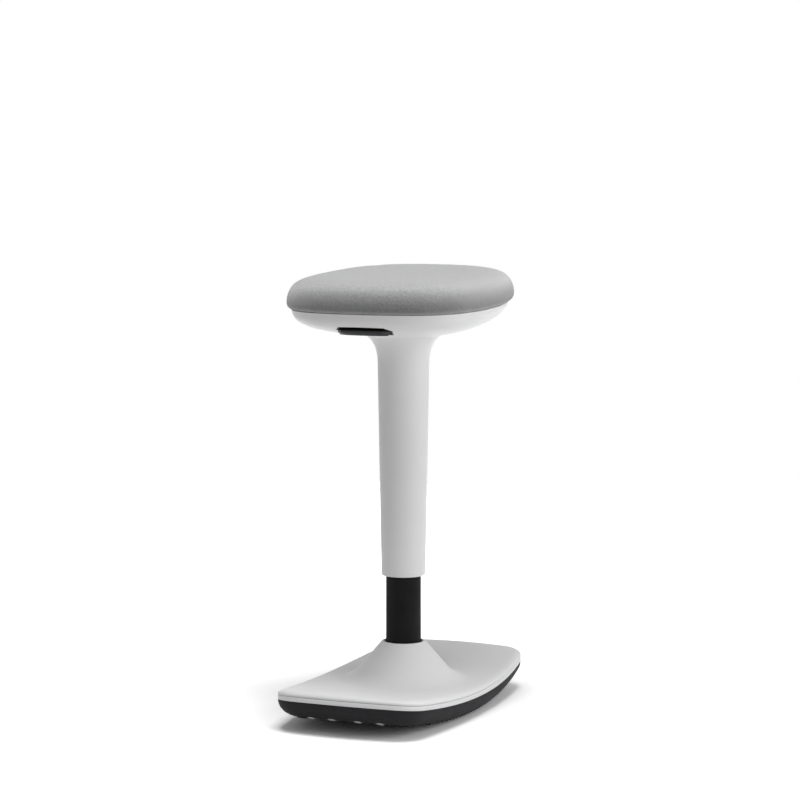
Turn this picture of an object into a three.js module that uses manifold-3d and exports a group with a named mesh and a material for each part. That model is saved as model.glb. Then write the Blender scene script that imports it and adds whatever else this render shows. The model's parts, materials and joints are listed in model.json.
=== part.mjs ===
// Perch stool on a rocker base: millimetres, +Z up, front of the stool towards -Y.
// The origin is the point of the floor under the middle of the column.
import * as THREE from 'three';
import { mergeVertices } from 'three/addons/utils/BufferGeometryUtils.js';
import Module from 'manifold-3d';

const wasm = await Module();
wasm.setup();

// Clearances
const restGap = 0.3; // between two pieces where one rests on the other
const runGap = 0.3; // radial, where a shaft turns or slides in its bore
const screwGap = 0.3; // radial, round the shank of a screw or bolt
const fitGap = 0.8; // round a piece that drops into a moulded recess
const cutOver = 2; // overrun of every cut

// Base plan: a rectangle with bulging sides, and its curves along Y
const baseHalfWidth = 124;
const baseHalfLength = 227.5;
const baseSideRadius = 1140;
const baseEndRadius = 480;
const baseCornerRadius = 42;
const rockerRadius = 1100; // of the underside, on which the stool rocks
const seamRadius = 1530; // of the seam, the rim and the cover
const standTrim = 0.6; // trimmed off the lowest studs, so that the stool stands still

// Rocker sole
const soleDepth = 27.5; // from the seam down to the underside, and how far in its edge reaches
const soleWall = 3.2;
const studRadius = 11;
const studRows = 3; // on each side of the middle row
const studEndInset = 47.5; // of the last row, from the base's end
const studInset = 38;
const studProud = 1.8;
const footRadius = 26; // round foot under the column
const glideRadius = 5.5;
const glideInset = 20;
const glideNear = 19.5;
const glideFar = 51.5;
const glideProud = 0.7;
const glideStemRadius = 3;

// White rim and cover
const rimHeight = 6.5;
const rimWidth = 16;
const rimFlange = 2.7;
const rimLipWidth = 2.6;
const rimLipDrop = 5;
const shadowGap = 0.5;
const coverEdge = 6.3;
const coverRound = 4.6; // how high its edge rolls over
const coverRoundRun = 12; // and how far in
const coverWall = 3;
const collarTop = 97.3;
const collarGap = 2.3; // between the tube and the collar's bore
const collarLip = 2;
const collarRound = 3;
const collarDepth = 10;
const flankAngle = 49.6 * THREE.MathUtils.DEG2RAD;
const flankBlend = 21; // how far the flank's foot blend reaches each way

// Base screws, from below into the cover
const baseScrewInset = 36;
const baseScrewEndInset = 77.5;
const endScrewInset = 41.5;
const baseScrewRadius = 2.1;
const baseScrewHead = 4.6;
const baseScrewHeadHeight = 3.2;
const baseScrewSink = 6;
const baseScrewReach = 8.5; // into the cover's boss
const soleBossRadius = 7.2;
const coverBossRadius = 5.2;

// Ballast plate and socket
const plateSideInset = 48; // from the base's edge
const plateEndInset = 57.5;
const plateSideRadius = 1100;
const plateEndRadius = 430;
const plateCornerRadius = 24;
const plateThick = 7.5;
const padRadius = 57;
const padProud = 1.6;
const padBore = 13;
const flangeRadius = 55;
const flangeThick = 6;
const socketRadius = 31;
const socketTop = 84;
const boltCircle = 43;
const boltRadius = 4;
const boltHead = 6.5;
const boltHeadHeight = 5;
const boltBelow = 6.5;

// Column tube and its swivel bearing
const tubeRadius = 25;
const tubeWall = 2;
const tubeTaper = 0.8; // how much the foot of the tube narrows
const tubeTop = 330;
const tubeFloor = 3;
const tubeFloorBore = 6;
const raceRadius = 16;
const raceBore = 8;
const raceThick = 2;
const cageThick = 3;
const bushLength = 80;
const bushFlange = 3;
const sealHeight = 6.5;
const sealSink = 0.8;

// Gas spring
const rodRadius = 5;
const rodTail = 6; // below the tube's floor
const rodGroove = 0.8;
const clipThick = 1.5;
const clipRadius = 8.5;
const washerRadius = 10.5;
const washerThick = 0.9;
const pistonHeight = 14;
const pistonBase = 286;
const rodHeadRadius = 7;
const rodHeadHeight = 4;
const cylinderRadius = 14;
const cylinderWall = 1.8;
const cylinderLength = 413;
const cylinderProud = 1; // above the bracket's web
const taperLength = 43;
const taperIn = 0.9; // how much the tapered head narrows
const cylinderCap = 22;
const guideLength = 18;
const guideSink = 2;
const valveRadius = 4;
const valveProud = 7.5;
const valveStem = 24;

// Column sleeve and seat shell
const sleeveFoot = 192.5;
const sleeveRoom = 6.45; // from the tube out to the sleeve's foot
const sleeveFlare = 5.15; // how much wider the sleeve is at its head
const sleeveLip = 3;
const sleeveLength = 304.5;
const neckRun = 24;
const neckRise = 39;
const bowlRise = 83.8; // from the sleeve's head up to the seam
const shellWall = 3;
const shellBossRadius = 5;
const shellBossX = 92;
const shellBossY = 62;

// Seat plan and the sheet of its seam
const seatHalfWidth = 144.5;
const seatHalfLength = 157;
const seatSideRadius = 270;
const seatEndRadius = 250;
const seatCornerRadius = 98;
const seatForward = 8; // the seat's middle lies ahead of the column
const saddleRadius = 6670;
const seatSlopeShare = 0.054;

// Cushion
const cushionThick = 40.5; // over the column
const crownSlopeShare = 0.0477;
const crownRadius = 2930;
const cushionOverhang = 7;
const cushionTuck = 1.5;
const tuckRiseShare = 0.186;
const edgePowerShare = 13.2;
const edgeRootShare = 2;

// Seat pan and its fastenings
const panThick = 9;
const panInset = 12.5; // from the shell's rim
const mountPadX = 78;
const mountPadY = 62;
const tNutRadius = 4.4;
const tNutFlange = 9;
const tNutFlangeThick = 1.5;
const tNutSink = 2;
const tNutLength = 9;
const panBoltX = 60;
const panBoltY = 45;
const panBoltRadius = 3;
const panBoltHead = 5.5;
const panBoltHeadHeight = 4;
const panBoltLength = 13;
const shellScrewRadius = 2;
const shellScrewHead = 4;
const shellScrewHeadHeight = 2.4;
const shellScrewReach = 9;

// Seat bracket
const bracketDrop = 14.8; // from the seam down to its top
const bracketSheet = 3;
const bracketHalfX = 74;
const bracketHalfY = 58;
const cheekGap = 27; // from the middle to the inside of each cheek
const cheekHalfY = 44;
const webDrop = 24; // from the bracket's top
const coneSocketRadius = 19;

// Release lever
const pivotY = -28;
const pivotDrop = 12.5; // from the bracket's top
const pinRadius = 3;
const pinHead = 5;
const pinHeadThick = 1.5;
const pinTail = 4;
const pinClipRadius = 5.2;
const pinClipThick = 1.2;
const hubRadius = 5.5;
const armHalfWidth = 8;
const armThick = 5;
const armReach = 6; // past the valve pin's middle
const armSlotRun = 24; // of the slot behind the window
const paddleSetback = 13.4; // from the shell's front edge
const paddleDepth = 43.6;
const paddleHalfWidth = 39;
const paddleTaper = 12.5; // how much each side draws in to the rear
const paddleBow = 3.5; // of its front edge
const paddleCorner = 8; // cut off both front corners
const paddleThick = 8.2;
const paddleDrop = 30.2; // from the seam's sheet over its front edge down to its underside
const paddleChamfer = 3.4;
const leverTravel = 4 * THREE.MathUtils.DEG2RAD;
const linerWall = 1.6;
const linerGap = 1.3; // between the paddle and the liner
const linerSink = 0.6; // inside the shell's outer face
const springWire = 0.8;
const springCoilGap = 0.8; // from the hub to the coil's inside
const springTurns = 4;
const springPitch = 3;

// Facets
const baseQuarter = [3, 5, 2]; // side, corner and end of one quarter of the plan
const seatQuarter = [3, 4, 3];
const roundSides = 20;
const smallSides = 10;
const hexSides = 6;
const springSides = 5;
const springTurnSteps = 8;

// Materials
const finishes = {
  whitePlastic: { color: 0xdfe0e1, roughness: 0.55, metalness: 0 },
  blackRubber: { color: 0x232426, roughness: 0.85, metalness: 0 },
  blackPlastic: { color: 0x2a2b2d, roughness: 0.5, metalness: 0 },
  greyPlastic: { color: 0xb9bbbd, roughness: 0.45, metalness: 0 },
  blackPaint: { color: 0x1d1e20, roughness: 0.35, metalness: 0.2 },
  steel: { color: 0x9a9da0, roughness: 0.35, metalness: 0.9 },
  zinc: { color: 0xb4b6b4, roughness: 0.4, metalness: 0.8 },
  fabric: { color: 0xa9aaac, roughness: 0.95, metalness: 0 },
};

const stool = new THREE.Group();

function place(name, geometry, finish) {
  const mesh = new THREE.Mesh(geometry, new THREE.MeshStandardMaterial(finishes[finish]));
  mesh.name = name;
  stool.add(mesh);
  return mesh;
}

// Solids from rings of points

// Turns every face of a closed mesh outwards.
function orientOutward(points, faces) {
  const at = (i) => new THREE.Vector3(points[i].x, points[i].y, points[i].z);
  let volume = 0;
  for (const [a, b, c] of faces) {
    volume += at(a).dot(at(b).cross(at(c)));
  }
  if (volume < 0) {
    faces.forEach((face) => face.reverse());
  }
}

function closedGeometry(points, faces) {
  orientOutward(points, faces);
  const geometry = new THREE.BufferGeometry().setFromPoints(points);
  geometry.setIndex(faces.flat());
  return geometry;
}

// Faces between rings of equal count. endCap is 'loop' where the last ring meets the first,
// 'strip' where rows join the two mirrored halves of each end ring, or 'fan' to a middle point.
function skin(rings, endCap) {
  const count = rings[0].length;
  const points = rings.flat();
  const faces = [];
  const bands = endCap === 'loop' ? rings.length : rings.length - 1;
  for (let band = 0; band < bands; band += 1) {
    const low = band * count;
    const high = ((band + 1) % rings.length) * count;
    for (let i = 0; i < count; i += 1) {
      const j = (i + 1) % count;
      faces.push([low + i, low + j, high + j], [low + i, high + j, high + i]);
    }
  }
  if (endCap === 'strip') {
    capByRows(faces, count, 0, true);
    capByRows(faces, count, (rings.length - 1) * count, false);
  }
  if (endCap === 'fan') {
    capByFan(points, faces, rings[0], 0, true);
    capByFan(points, faces, rings.at(-1), (rings.length - 1) * count, false);
  }
  return closedGeometry(points, faces);
}

// Joins the points of a ring across the mirror plane x = 0, row by row.
function capByRows(faces, count, first, flipped) {
  const quarter = count / 4;
  const right = (row) => first + ((row + count) % count);
  const left = (row) => first + ((2 * quarter - row + count) % count);
  for (let row = quarter; row > -quarter; row -= 1) {
    const corners = [
      [right(row), left(row), left(row - 1)],
      [right(row), left(row - 1), right(row - 1)],
    ];
    for (const face of corners) {
      if (new Set(face).size === 3) {
        faces.push(flipped ? face.reverse() : face);
      }
    }
  }
}

function capByFan(points, faces, ring, first, flipped) {
  const middle = new THREE.Vector3();
  ring.forEach((p) => middle.add(p));
  points.push(middle.divideScalar(ring.length));
  for (let i = 0; i < ring.length; i += 1) {
    const face = [first + i, first + ((i + 1) % ring.length), points.length - 1];
    faces.push(flipped ? face.reverse() : face);
  }
}

// Rings moved along the surface's own normals, by wall: inwards where it is positive.
function offsetRings(rings, wall) {
  return rings.map((ring, k) => ring.map((point, i) => {
    const count = ring.length;
    const before = rings[Math.max(k - 1, 0)][i];
    const after = rings[Math.min(k + 1, rings.length - 1)][i];
    const along = new THREE.Vector3().subVectors(ring[(i + 1) % count], ring[(i + count - 1) % count]);
    const across = new THREE.Vector3().subVectors(after, before);
    const normal = across.cross(along).normalize();
    return point.clone().addScaledVector(normal, wall);
  }));
}

// Plan outlines

// A rectangle with bulging sides and round corners, as points with matching normals, so that
// the same outline can be drawn at any inset.
function bulgedPlan(halfWidth, halfLength, sideRadius, endRadius, cornerRadius, quarterCounts) {
  const sideCentre = halfWidth - sideRadius;
  const endCentre = halfLength - endRadius;
  const apart = Math.hypot(sideCentre, endCentre);
  const fromSide = sideRadius - cornerRadius;
  const fromEnd = endRadius - cornerRadius;
  const along = (fromSide ** 2 - fromEnd ** 2 + apart ** 2) / (2 * apart);
  const across = Math.sqrt(fromSide ** 2 - along ** 2);
  const cornerX = sideCentre + (-sideCentre * along - endCentre * across) / apart;
  const cornerY = (endCentre * along - sideCentre * across) / apart;
  const sideEnd = Math.atan2(cornerY, cornerX - sideCentre);
  const cornerEnd = Math.atan2(cornerY - endCentre, cornerX);
  const spans = [[0, sideEnd], [sideEnd, cornerEnd], [cornerEnd, Math.PI / 2]];
  const arcs = [[sideCentre, 0, sideRadius], [cornerX, cornerY, cornerRadius], [0, endCentre, endRadius]];
  const quarter = [];
  spans.forEach(([from, to], k) => {
    for (let i = 0; i < quarterCounts[k]; i += 1) {
      quarter.push([arcs[k], from + ((to - from) * i) / quarterCounts[k]]);
    }
  });
  quarter.push([arcs[2], Math.PI / 2]);
  return (inset) => {
    const first = quarter.map(([[x, y, radius], angle]) => [
      x + (radius - inset) * Math.cos(angle),
      y + (radius - inset) * Math.sin(angle),
    ]);
    const second = first.slice(0, -1).reverse().map(([x, y]) => [-x, y]);
    const upper = [...first, ...second];
    const lower = upper.slice(1, -1).reverse().map(([x, y]) => [x, -y]);
    return [...upper, ...lower];
  };
}

const basePlan = bulgedPlan(
  baseHalfWidth,
  baseHalfLength,
  baseSideRadius,
  baseEndRadius,
  baseCornerRadius,
  baseQuarter,
);
const platePlan = bulgedPlan(
  baseHalfWidth - plateSideInset,
  baseHalfLength - plateEndInset,
  plateSideRadius,
  plateEndRadius,
  plateCornerRadius,
  baseQuarter,
);
const seatPlan = bulgedPlan(
  seatHalfWidth,
  seatHalfLength,
  seatSideRadius,
  seatEndRadius,
  seatCornerRadius,
  seatQuarter,
);

// A circle whose points lie in the directions of a plan's points.
function circleLike(plan, radius) {
  const outline = plan(0);
  const [widest] = outline[0];
  const longest = outline[outline.length / 4][1];
  return outline.map(([x, y]) => {
    const angle = Math.atan2(y / longest, x / widest);
    return [radius * Math.cos(angle), radius * Math.sin(angle)];
  });
}

function blendOutlines(from, to, share) {
  return from.map(([x, y], i) => [x + (to[i][0] - x) * share, y + (to[i][1] - y) * share]);
}

const rockerRise = (y) => (y * y) / (2 * rockerRadius);
const seamRise = (y) => (y * y) / (2 * seamRadius);

// Half the base's width at a distance from its middle.
const sideX = (y) => baseHalfWidth - baseSideRadius + Math.sqrt(baseSideRadius ** 2 - y ** 2);

// Half the base's length at a distance from its middle.
const endY = (x) => baseHalfLength - baseEndRadius + Math.sqrt(baseEndRadius ** 2 - x ** 2);

// A ring at a height above the curve of the underside.
function rockerRing(outline, height) {
  return outline.map(([x, y]) => new THREE.Vector3(x, y, height + rockerRise(y)));
}

// A ring at a height above the curve of the seam. riseShare fades the curve out.
function seamRing(outline, height, riseShare = 1) {
  return outline.map(([x, y]) => new THREE.Vector3(x, y, height + riseShare * seamRise(y)));
}

// Round pieces and booleans

// A lathe about Z: points are [radius, height] pairs, closed on themselves or on the axis.
function turned(points, sides = roundSides) {
  const onAxis = points[0][0] === 0;
  const profile = points.map(([radius, height]) => new THREE.Vector2(radius, height));
  if (!onAxis) {
    profile.push(profile[0].clone());
  }
  return new THREE.LatheGeometry(profile, sides).rotateX(Math.PI / 2);
}

// A ring of rectangular section.
function collar(inner, outer, low, high, sides = roundSides) {
  return turned([[inner, low], [outer, low], [outer, high], [inner, high]], sides);
}

function rod(radius, low, high, sides = smallSides) {
  return turned([[0, low], [radius, low], [radius, high], [0, high]], sides);
}

// A headed pin with its head at the bottom.
function headedPin(head, headHeight, shank, low, length) {
  const neck = low + headHeight;
  const top = neck + length;
  return turned([[0, low], [head, low], [head, neck], [shank, neck], [shank, top], [0, top]], smallSides);
}

function box(lowX, highX, lowY, highY, lowZ, highZ) {
  const geometry = new THREE.BoxGeometry(highX - lowX, highY - lowY, highZ - lowZ);
  return geometry.translate((lowX + highX) / 2, (lowY + highY) / 2, (lowZ + highZ) / 2);
}

function toSolid(geometry) {
  const bare = geometry.clone();
  bare.deleteAttribute('normal');
  bare.deleteAttribute('uv');
  const merged = mergeVertices(bare);
  const kept = [];
  const index = merged.index.array;
  for (let i = 0; i < index.length; i += 3) {
    const face = [index[i], index[i + 1], index[i + 2]];
    if (new Set(face).size === 3) {
      kept.push(face);
    }
  }
  const position = merged.getAttribute('position');
  const points = Array.from({ length: position.count }, (_, i) => {
    return new THREE.Vector3().fromBufferAttribute(position, i);
  });
  orientOutward(points, kept);
  return new wasm.Manifold(new wasm.Mesh({
    numProp: 3,
    vertProperties: new Float32Array(points.flatMap((p) => [p.x, p.y, p.z])),
    triVerts: new Uint32Array(kept.flat()),
  }));
}

function fromSolid(solid) {
  const mesh = solid.getMesh();
  const geometry = new THREE.BufferGeometry();
  geometry.setAttribute('position', new THREE.Float32BufferAttribute(mesh.vertProperties, 3));
  geometry.setIndex(Array.from(mesh.triVerts));
  return geometry;
}

function cutAll(solid, geometries) {
  return geometries.reduce((left, geometry) => left.subtract(toSolid(geometry)), solid);
}

function joinAll(solid, geometries) {
  return geometries.reduce((left, geometry) => left.add(toSolid(geometry)), solid);
}

// The four mirrored places of a corner pattern.
function fourPlaces(x, y) {
  return [[-x, -y], [x, -y], [-x, y], [x, y]];
}

// Radii of the sleeve
const sleeveFootRadius = tubeRadius + sleeveRoom;
const sleeveHeadRadius = sleeveFootRadius + sleeveFlare;

// Heights of the seat and its lever
const sleeveHead = sleeveFoot + sleeveLength;
const seamHeight = sleeveHead + bowlRise;
const crownHeight = seamHeight + cushionThick;
const bracketTop = seamHeight - bracketDrop;
const webTop = bracketTop - webDrop;
const cylinderHead = webTop + cylinderProud;
const cylinderFoot = cylinderHead - cylinderLength;
const pivotHeight = bracketTop - pivotDrop;

// The seam's sheet, over which the pan, the shell's rim and the cushion's foot all lie
const seamSheet = (x, y) => seamHeight + seatSlopeShare * y + (y * y - x * x) / (2 * saddleRadius);
const paddleFront = seatHalfLength + seatForward - paddleSetback;
const paddleBase = seamSheet(0, -paddleFront) - paddleDrop;

// Heights of the base, above the curves of its underside and its seam
const underside = studProud - standTrim;
const seam = underside + soleDepth;
const rimBase = seam + restGap;
const rimTop = rimBase + rimHeight;
const coverBase = rimTop + shadowGap;
const coverTop = coverBase + coverEdge;
const soleFloor = underside + soleWall;
const plateBase = soleFloor + fitGap;
const plateTop = plateBase + plateThick;

// Base screws: places in plan
const sideScrewX = baseHalfWidth - baseScrewInset;
const sideScrewY = baseHalfLength - baseScrewEndInset;
const endScrewY = baseHalfLength - endScrewInset;
const baseScrewPlaces = [...fourPlaces(sideScrewX, sideScrewY), [0, -endScrewY], [0, endScrewY]];

// Rocker sole: a tub whose edge is a quarter of an ellipse in section, from the curve of the
// seam down to the curve of the underside, so that it is shallower at both ends
const edgeStepShares = [1, 0.76, 0.52, 0.26, 0];
function soleRings(wall) {
  return edgeStepShares.map((share) => {
    const angle = (share * Math.PI) / 2;
    const outline = basePlan(wall + (soleDepth - wall) * (1 - Math.cos(angle)));
    const low = rockerRing(outline, underside + wall);
    return seamRing(outline, seam).map((high, i) => high.lerp(low[i], Math.sin(angle)));
  });
}

function makeSole() {
  const outer = toSolid(skin(soleRings(0), 'strip'));
  const innerRings = soleRings(soleWall);
  innerRings.push(seamRing(basePlan(soleWall), seam + cutOver));
  const inner = toSolid(skin(innerRings, 'strip'));
  const midFloor = underside + soleWall / 2;
  let sole = outer.subtract(inner);
  // Grip studs along both sides, square to the underside
  const studPitch = (baseHalfLength - studEndInset) / studRows;
  const studs = [];
  for (let row = -studRows; row <= studRows; row += 1) {
    const y = row * studPitch;
    const tilt = Math.atan(y / rockerRadius);
    const studX = sideX(y) - studInset;
    for (const x of [-studX, studX]) {
      const stud = rod(studRadius, -studProud, soleWall / 2);
      studs.push(stud.rotateX(tilt).translate(x, y, underside + rockerRise(y)));
    }
  }
  studs.push(rod(footRadius, underside - studProud, midFloor, roundSides));
  sole = joinAll(sole, studs);
  // Bosses for the base screws
  const bosses = baseScrewPlaces.map(([x, y]) => {
    const boss = rod(soleBossRadius, midFloor + rockerRise(y), seam - restGap + seamRise(y));
    return boss.translate(x, y, 0);
  });
  sole = joinAll(sole, bosses);
  const cuts = baseScrewPlaces.flatMap(([x, y]) => {
    const rise = rockerRise(y);
    const sink = rod(baseScrewHead + fitGap, underside - studProud - cutOver, underside + baseScrewSink);
    const hole = rod(baseScrewRadius + screwGap, underside, seam + cutOver);
    return [sink.translate(x, y, rise), hole.translate(x, y, rise)];
  });
  // Holes for the stems of the end glides
  for (const { x, y, height, tilt } of glidePlaces()) {
    const hole = rod(glideStemRadius + screwGap, -cutOver, soleWall + cutOver);
    cuts.push(hole.rotateX(tilt).translate(x, y, height));
  }
  // The lowest studs end flat on the floor
  cuts.push(box(-baseHalfWidth, baseHalfWidth, -baseHalfLength, baseHalfLength, -soleDepth, 0));
  return fromSolid(cutAll(sole, cuts));
}

// The glides sit on the edge's curve, just outside the flat of the underside.
function glidePlaces() {
  const inwardShare = 1 - glideInset / soleDepth;
  const dropShare = Math.sqrt(1 - inwardShare ** 2);
  return [['front', -1], ['rear', 1]].flatMap(([word, end]) => {
    return [-glideFar, -glideNear, glideNear, glideFar].map((x, i) => {
      const y = end * (endY(x) - glideInset);
      const top = seam + seamRise(y);
      const depth = top - underside - rockerRise(y);
      const slope = ((depth / soleDepth) * inwardShare) / dropShare;
      const tilt = Math.atan(y / rockerRadius) + end * Math.atan(slope);
      return { name: `${word}_glide_${i + 1}`, x, y, height: top - depth * dropShare, tilt };
    });
  });
}

place('rocker_sole', makeSole(), 'blackRubber');

// End glides: low domes with a stem in the sole
const domeShares = [[0.5, 1], [0.82, 0.9], [1, 0.55], [1, 0]];
function makeGlide() {
  const dome = domeShares.map(([wide, deep]) => [glideRadius * wide, -restGap - glideProud * deep]);
  return turned([
    [0, -restGap - glideProud],
    ...dome,
    [glideStemRadius, -restGap],
    [glideStemRadius, soleWall],
    [0, soleWall],
  ], smallSides);
}

for (const { name, x, y, height, tilt } of glidePlaces()) {
  const glide = place(name, makeGlide(), 'greyPlastic');
  glide.position.set(x, y, height);
  glide.rotation.x = tilt;
}

// White rim between the sole and the cover, with a lip that finds the sole's wall
const innerEdge = soleDepth - soleWall;
const innerDepth = innerEdge - rockerRise(baseHalfLength) + seamRise(baseHalfLength); // at the ends
const lipDropShare = rimLipDrop / innerDepth;
const lipOuter = soleWall + innerEdge * (1 - Math.sqrt(1 - lipDropShare ** 2)) + fitGap;
const lipInner = lipOuter + rimLipWidth;
const rimSection = [
  [0, rimBase],
  [0, rimTop],
  [rimWidth, rimTop],
  [rimWidth, rimTop - rimFlange],
  [lipInner, rimTop - rimFlange],
  [lipInner, rimBase - rimLipDrop],
  [lipOuter, rimBase - rimLipDrop],
  [lipOuter, rimBase],
];
const rimRings = rimSection.map(([inset, height]) => seamRing(basePlan(inset), height));
place('base_rim', skin(rimRings, 'loop'), 'whitePlastic');

// Base cover: edge, plate, cone and collar, then the same skin again inside
const collarBore = tubeRadius + collarGap;
const collarEdge = collarBore + collarLip;
const shoulderRadius = collarEdge + collarRound * Math.sin(flankAngle);
const shoulderHeight = collarTop - collarRound * (1 - Math.cos(flankAngle));
const flankRun = (shoulderHeight - coverTop) / Math.tan(flankAngle);
const flankFoot = shoulderRadius + flankRun;

function flankRing(radius, height) {
  const riseShare = (collarTop - height) / (collarTop - coverTop);
  return seamRing(circleLike(basePlan, radius), height, riseShare);
}

const roundStepShares = [0, 0.5, 1];
const plateStepShares = [0.4, 0.8];
const blendStepShares = [0, 0.2, 0.4, 0.6, 0.8, 1];
function coverRings() {
  const rings = [seamRing(basePlan(0), coverBase)];
  for (const share of roundStepShares) {
    const angle = (share * Math.PI) / 2;
    const inset = coverRoundRun * (1 - Math.cos(angle));
    rings.push(seamRing(basePlan(inset), coverTop - coverRound * (1 - Math.sin(angle))));
  }
  const plateEdge = basePlan(coverRoundRun);
  const blendStart = circleLike(basePlan, flankFoot + flankBlend);
  for (const share of plateStepShares) {
    rings.push(seamRing(blendOutlines(plateEdge, blendStart, share), coverTop));
  }
  // The foot of the cone blends into the plate
  const upX = -flankBlend * Math.cos(flankAngle);
  const upZ = flankBlend * Math.sin(flankAngle);
  for (const t of blendStepShares) {
    const radius = flankFoot + flankBlend * (1 - t) ** 2 + upX * t ** 2;
    rings.push(flankRing(radius, coverTop + upZ * t ** 2));
  }
  const blendHeight = coverTop + upZ;
  rings.push(flankRing((flankFoot + upX + shoulderRadius) / 2, (blendHeight + shoulderHeight) / 2));
  rings.push(flankRing(shoulderRadius, shoulderHeight));
  return rings;
}

function makeCover() {
  const outer = coverRings();
  // The inside needs only every other ring, and is square to the seam at its edge
  const inner = offsetRings(outer, coverWall).filter((_, k) => k % 2 === 1 && k > 1);
  inner.unshift(seamRing(basePlan(coverWall), coverBase));
  const lipAngle = Math.PI / 2 - flankAngle / 2;
  const lip = [
    flankRing(
      collarEdge + collarRound * Math.cos(lipAngle),
      collarTop - collarRound * (1 - Math.sin(lipAngle)),
    ),
    flankRing(collarEdge, collarTop),
    flankRing(collarBore, collarTop),
    flankRing(collarBore, collarTop - collarDepth),
  ];
  const cover = toSolid(skin([...outer, ...lip, ...inner.reverse()], 'loop'));
  // Bosses for the base screws, grown from the middle of the plate's wall
  const bosses = baseScrewPlaces.map(([x, y]) => {
    const boss = rod(coverBossRadius, seam, coverTop - coverWall / 2);
    return boss.translate(x, y, seamRise(y));
  });
  const holes = baseScrewPlaces.map(([x, y]) => {
    const hole = rod(baseScrewRadius + screwGap, seam - cutOver, seam + baseScrewReach + restGap);
    return hole.translate(x, y, seamRise(y));
  });
  return fromSolid(cutAll(joinAll(cover, bosses), holes));
}

place('base_cover', makeCover(), 'whitePlastic');

// Base screws
const screwHeadTop = underside + baseScrewSink - restGap;
baseScrewPlaces.forEach(([x, y], i) => {
  const headTop = screwHeadTop + rockerRise(y);
  const headBase = headTop - baseScrewHeadHeight;
  const length = seam + seamRise(y) + baseScrewReach - headTop;
  const screw = headedPin(baseScrewHead, baseScrewHeadHeight, baseScrewRadius, headBase, length);
  place(`base_screw_${i + 1}`, screw, 'zinc').position.set(x, y, 0);
});

// Ballast plate with a turned pad for the socket
const padTop = plateTop + padProud;
const flangeBase = padTop + restGap;
const flangeTop = flangeBase + flangeThick;
const boltPlaces = fourPlaces(boltCircle * Math.SQRT1_2, boltCircle * Math.SQRT1_2);

function makePlate() {
  const slab = skin([
    rockerRing(platePlan(0), plateBase),
    rockerRing(platePlan(0), plateTop),
  ], 'strip');
  const pad = rod(padRadius, (plateBase + plateTop) / 2, padTop, roundSides);
  const holes = boltPlaces.map(([x, y]) => {
    return rod(boltRadius + screwGap, 0, padTop + cutOver).translate(x, y, 0);
  });
  holes.push(rod(padBore, 0, padTop + cutOver, roundSides));
  return fromSolid(cutAll(joinAll(toSolid(slab), [pad]), holes));
}

place('ballast_plate', makePlate(), 'blackPaint');

// Column socket: a flange and a tube, bored to the taper of the column's foot
const tubeFoot = flangeBase + runGap;
function makeSocket() {
  const foot = tubeRadius - tubeTaper + runGap;
  const socket = toSolid(turned([
    [foot, flangeBase],
    [flangeRadius, flangeBase],
    [flangeRadius, flangeTop],
    [socketRadius, flangeTop],
    [socketRadius, socketTop],
    [tubeRadius + runGap, socketTop],
  ]));
  const holes = boltPlaces.map(([x, y]) => {
    return rod(boltRadius + screwGap, flangeBase - cutOver, flangeTop + cutOver).translate(x, y, 0);
  });
  return fromSolid(cutAll(socket, holes));
}

place('column_socket', makeSocket(), 'blackPaint');

boltPlaces.forEach(([x, y], i) => {
  const headBase = flangeTop + restGap;
  const length = boltBelow + flangeThick + restGap;
  const bolt = turned([
    [0, headBase - length],
    [boltRadius, headBase - length],
    [boltRadius, headBase],
    [boltHead, headBase],
    [boltHead, headBase + boltHeadHeight],
    [0, headBase + boltHeadHeight],
  ], hexSides);
  place(`socket_bolt_${i + 1}`, bolt, 'zinc').position.set(x, y, 0);
});

// Column tube: tapered foot, floor with a bore for the rod
place('outer_tube', turned([
  [tubeFloorBore, tubeFoot],
  [tubeRadius - tubeTaper, tubeFoot],
  [tubeRadius, socketTop],
  [tubeRadius, tubeTop],
  [tubeRadius - tubeWall, tubeTop],
  [tubeRadius - tubeWall, socketTop],
  [tubeRadius - tubeTaper - tubeWall, tubeFoot + tubeFloor],
  [tubeFloorBore, tubeFoot + tubeFloor],
]), 'blackPaint');

place('column_seal', collar(
  tubeRadius + runGap,
  collarBore - runGap,
  collarTop - sealSink - sealHeight,
  collarTop - sealSink,
), 'blackRubber');

// Guide bush: flange on the tube's end, sleeve inside it
const bushBore = cylinderRadius + runGap;
const bushBody = tubeRadius - tubeWall - runGap;
const bushSeat = tubeTop + restGap;
place('guide_bush', turned([
  [bushBore, tubeTop - bushLength],
  [bushBody, tubeTop - bushLength],
  [bushBody, bushSeat],
  [tubeRadius, bushSeat],
  [tubeRadius, bushSeat + bushFlange],
  [bushBore, bushSeat + bushFlange],
]), 'blackPlastic');

// Swivel bearing, from the tube's floor upwards
const lowerRaceBase = tubeFoot + tubeFloor + restGap;
const cageBase = lowerRaceBase + raceThick + restGap;
const upperRaceBase = cageBase + cageThick + restGap;
place('thrust_race_lower', collar(raceBore, raceRadius, lowerRaceBase, lowerRaceBase + raceThick), 'steel');
place('ball_cage', collar(raceBore, raceRadius, cageBase, cageBase + cageThick), 'greyPlastic');
const rodBore = rodRadius + runGap;
place('thrust_race_upper', collar(rodBore, raceRadius, upperRaceBase, upperRaceBase + raceThick), 'steel');

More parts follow.
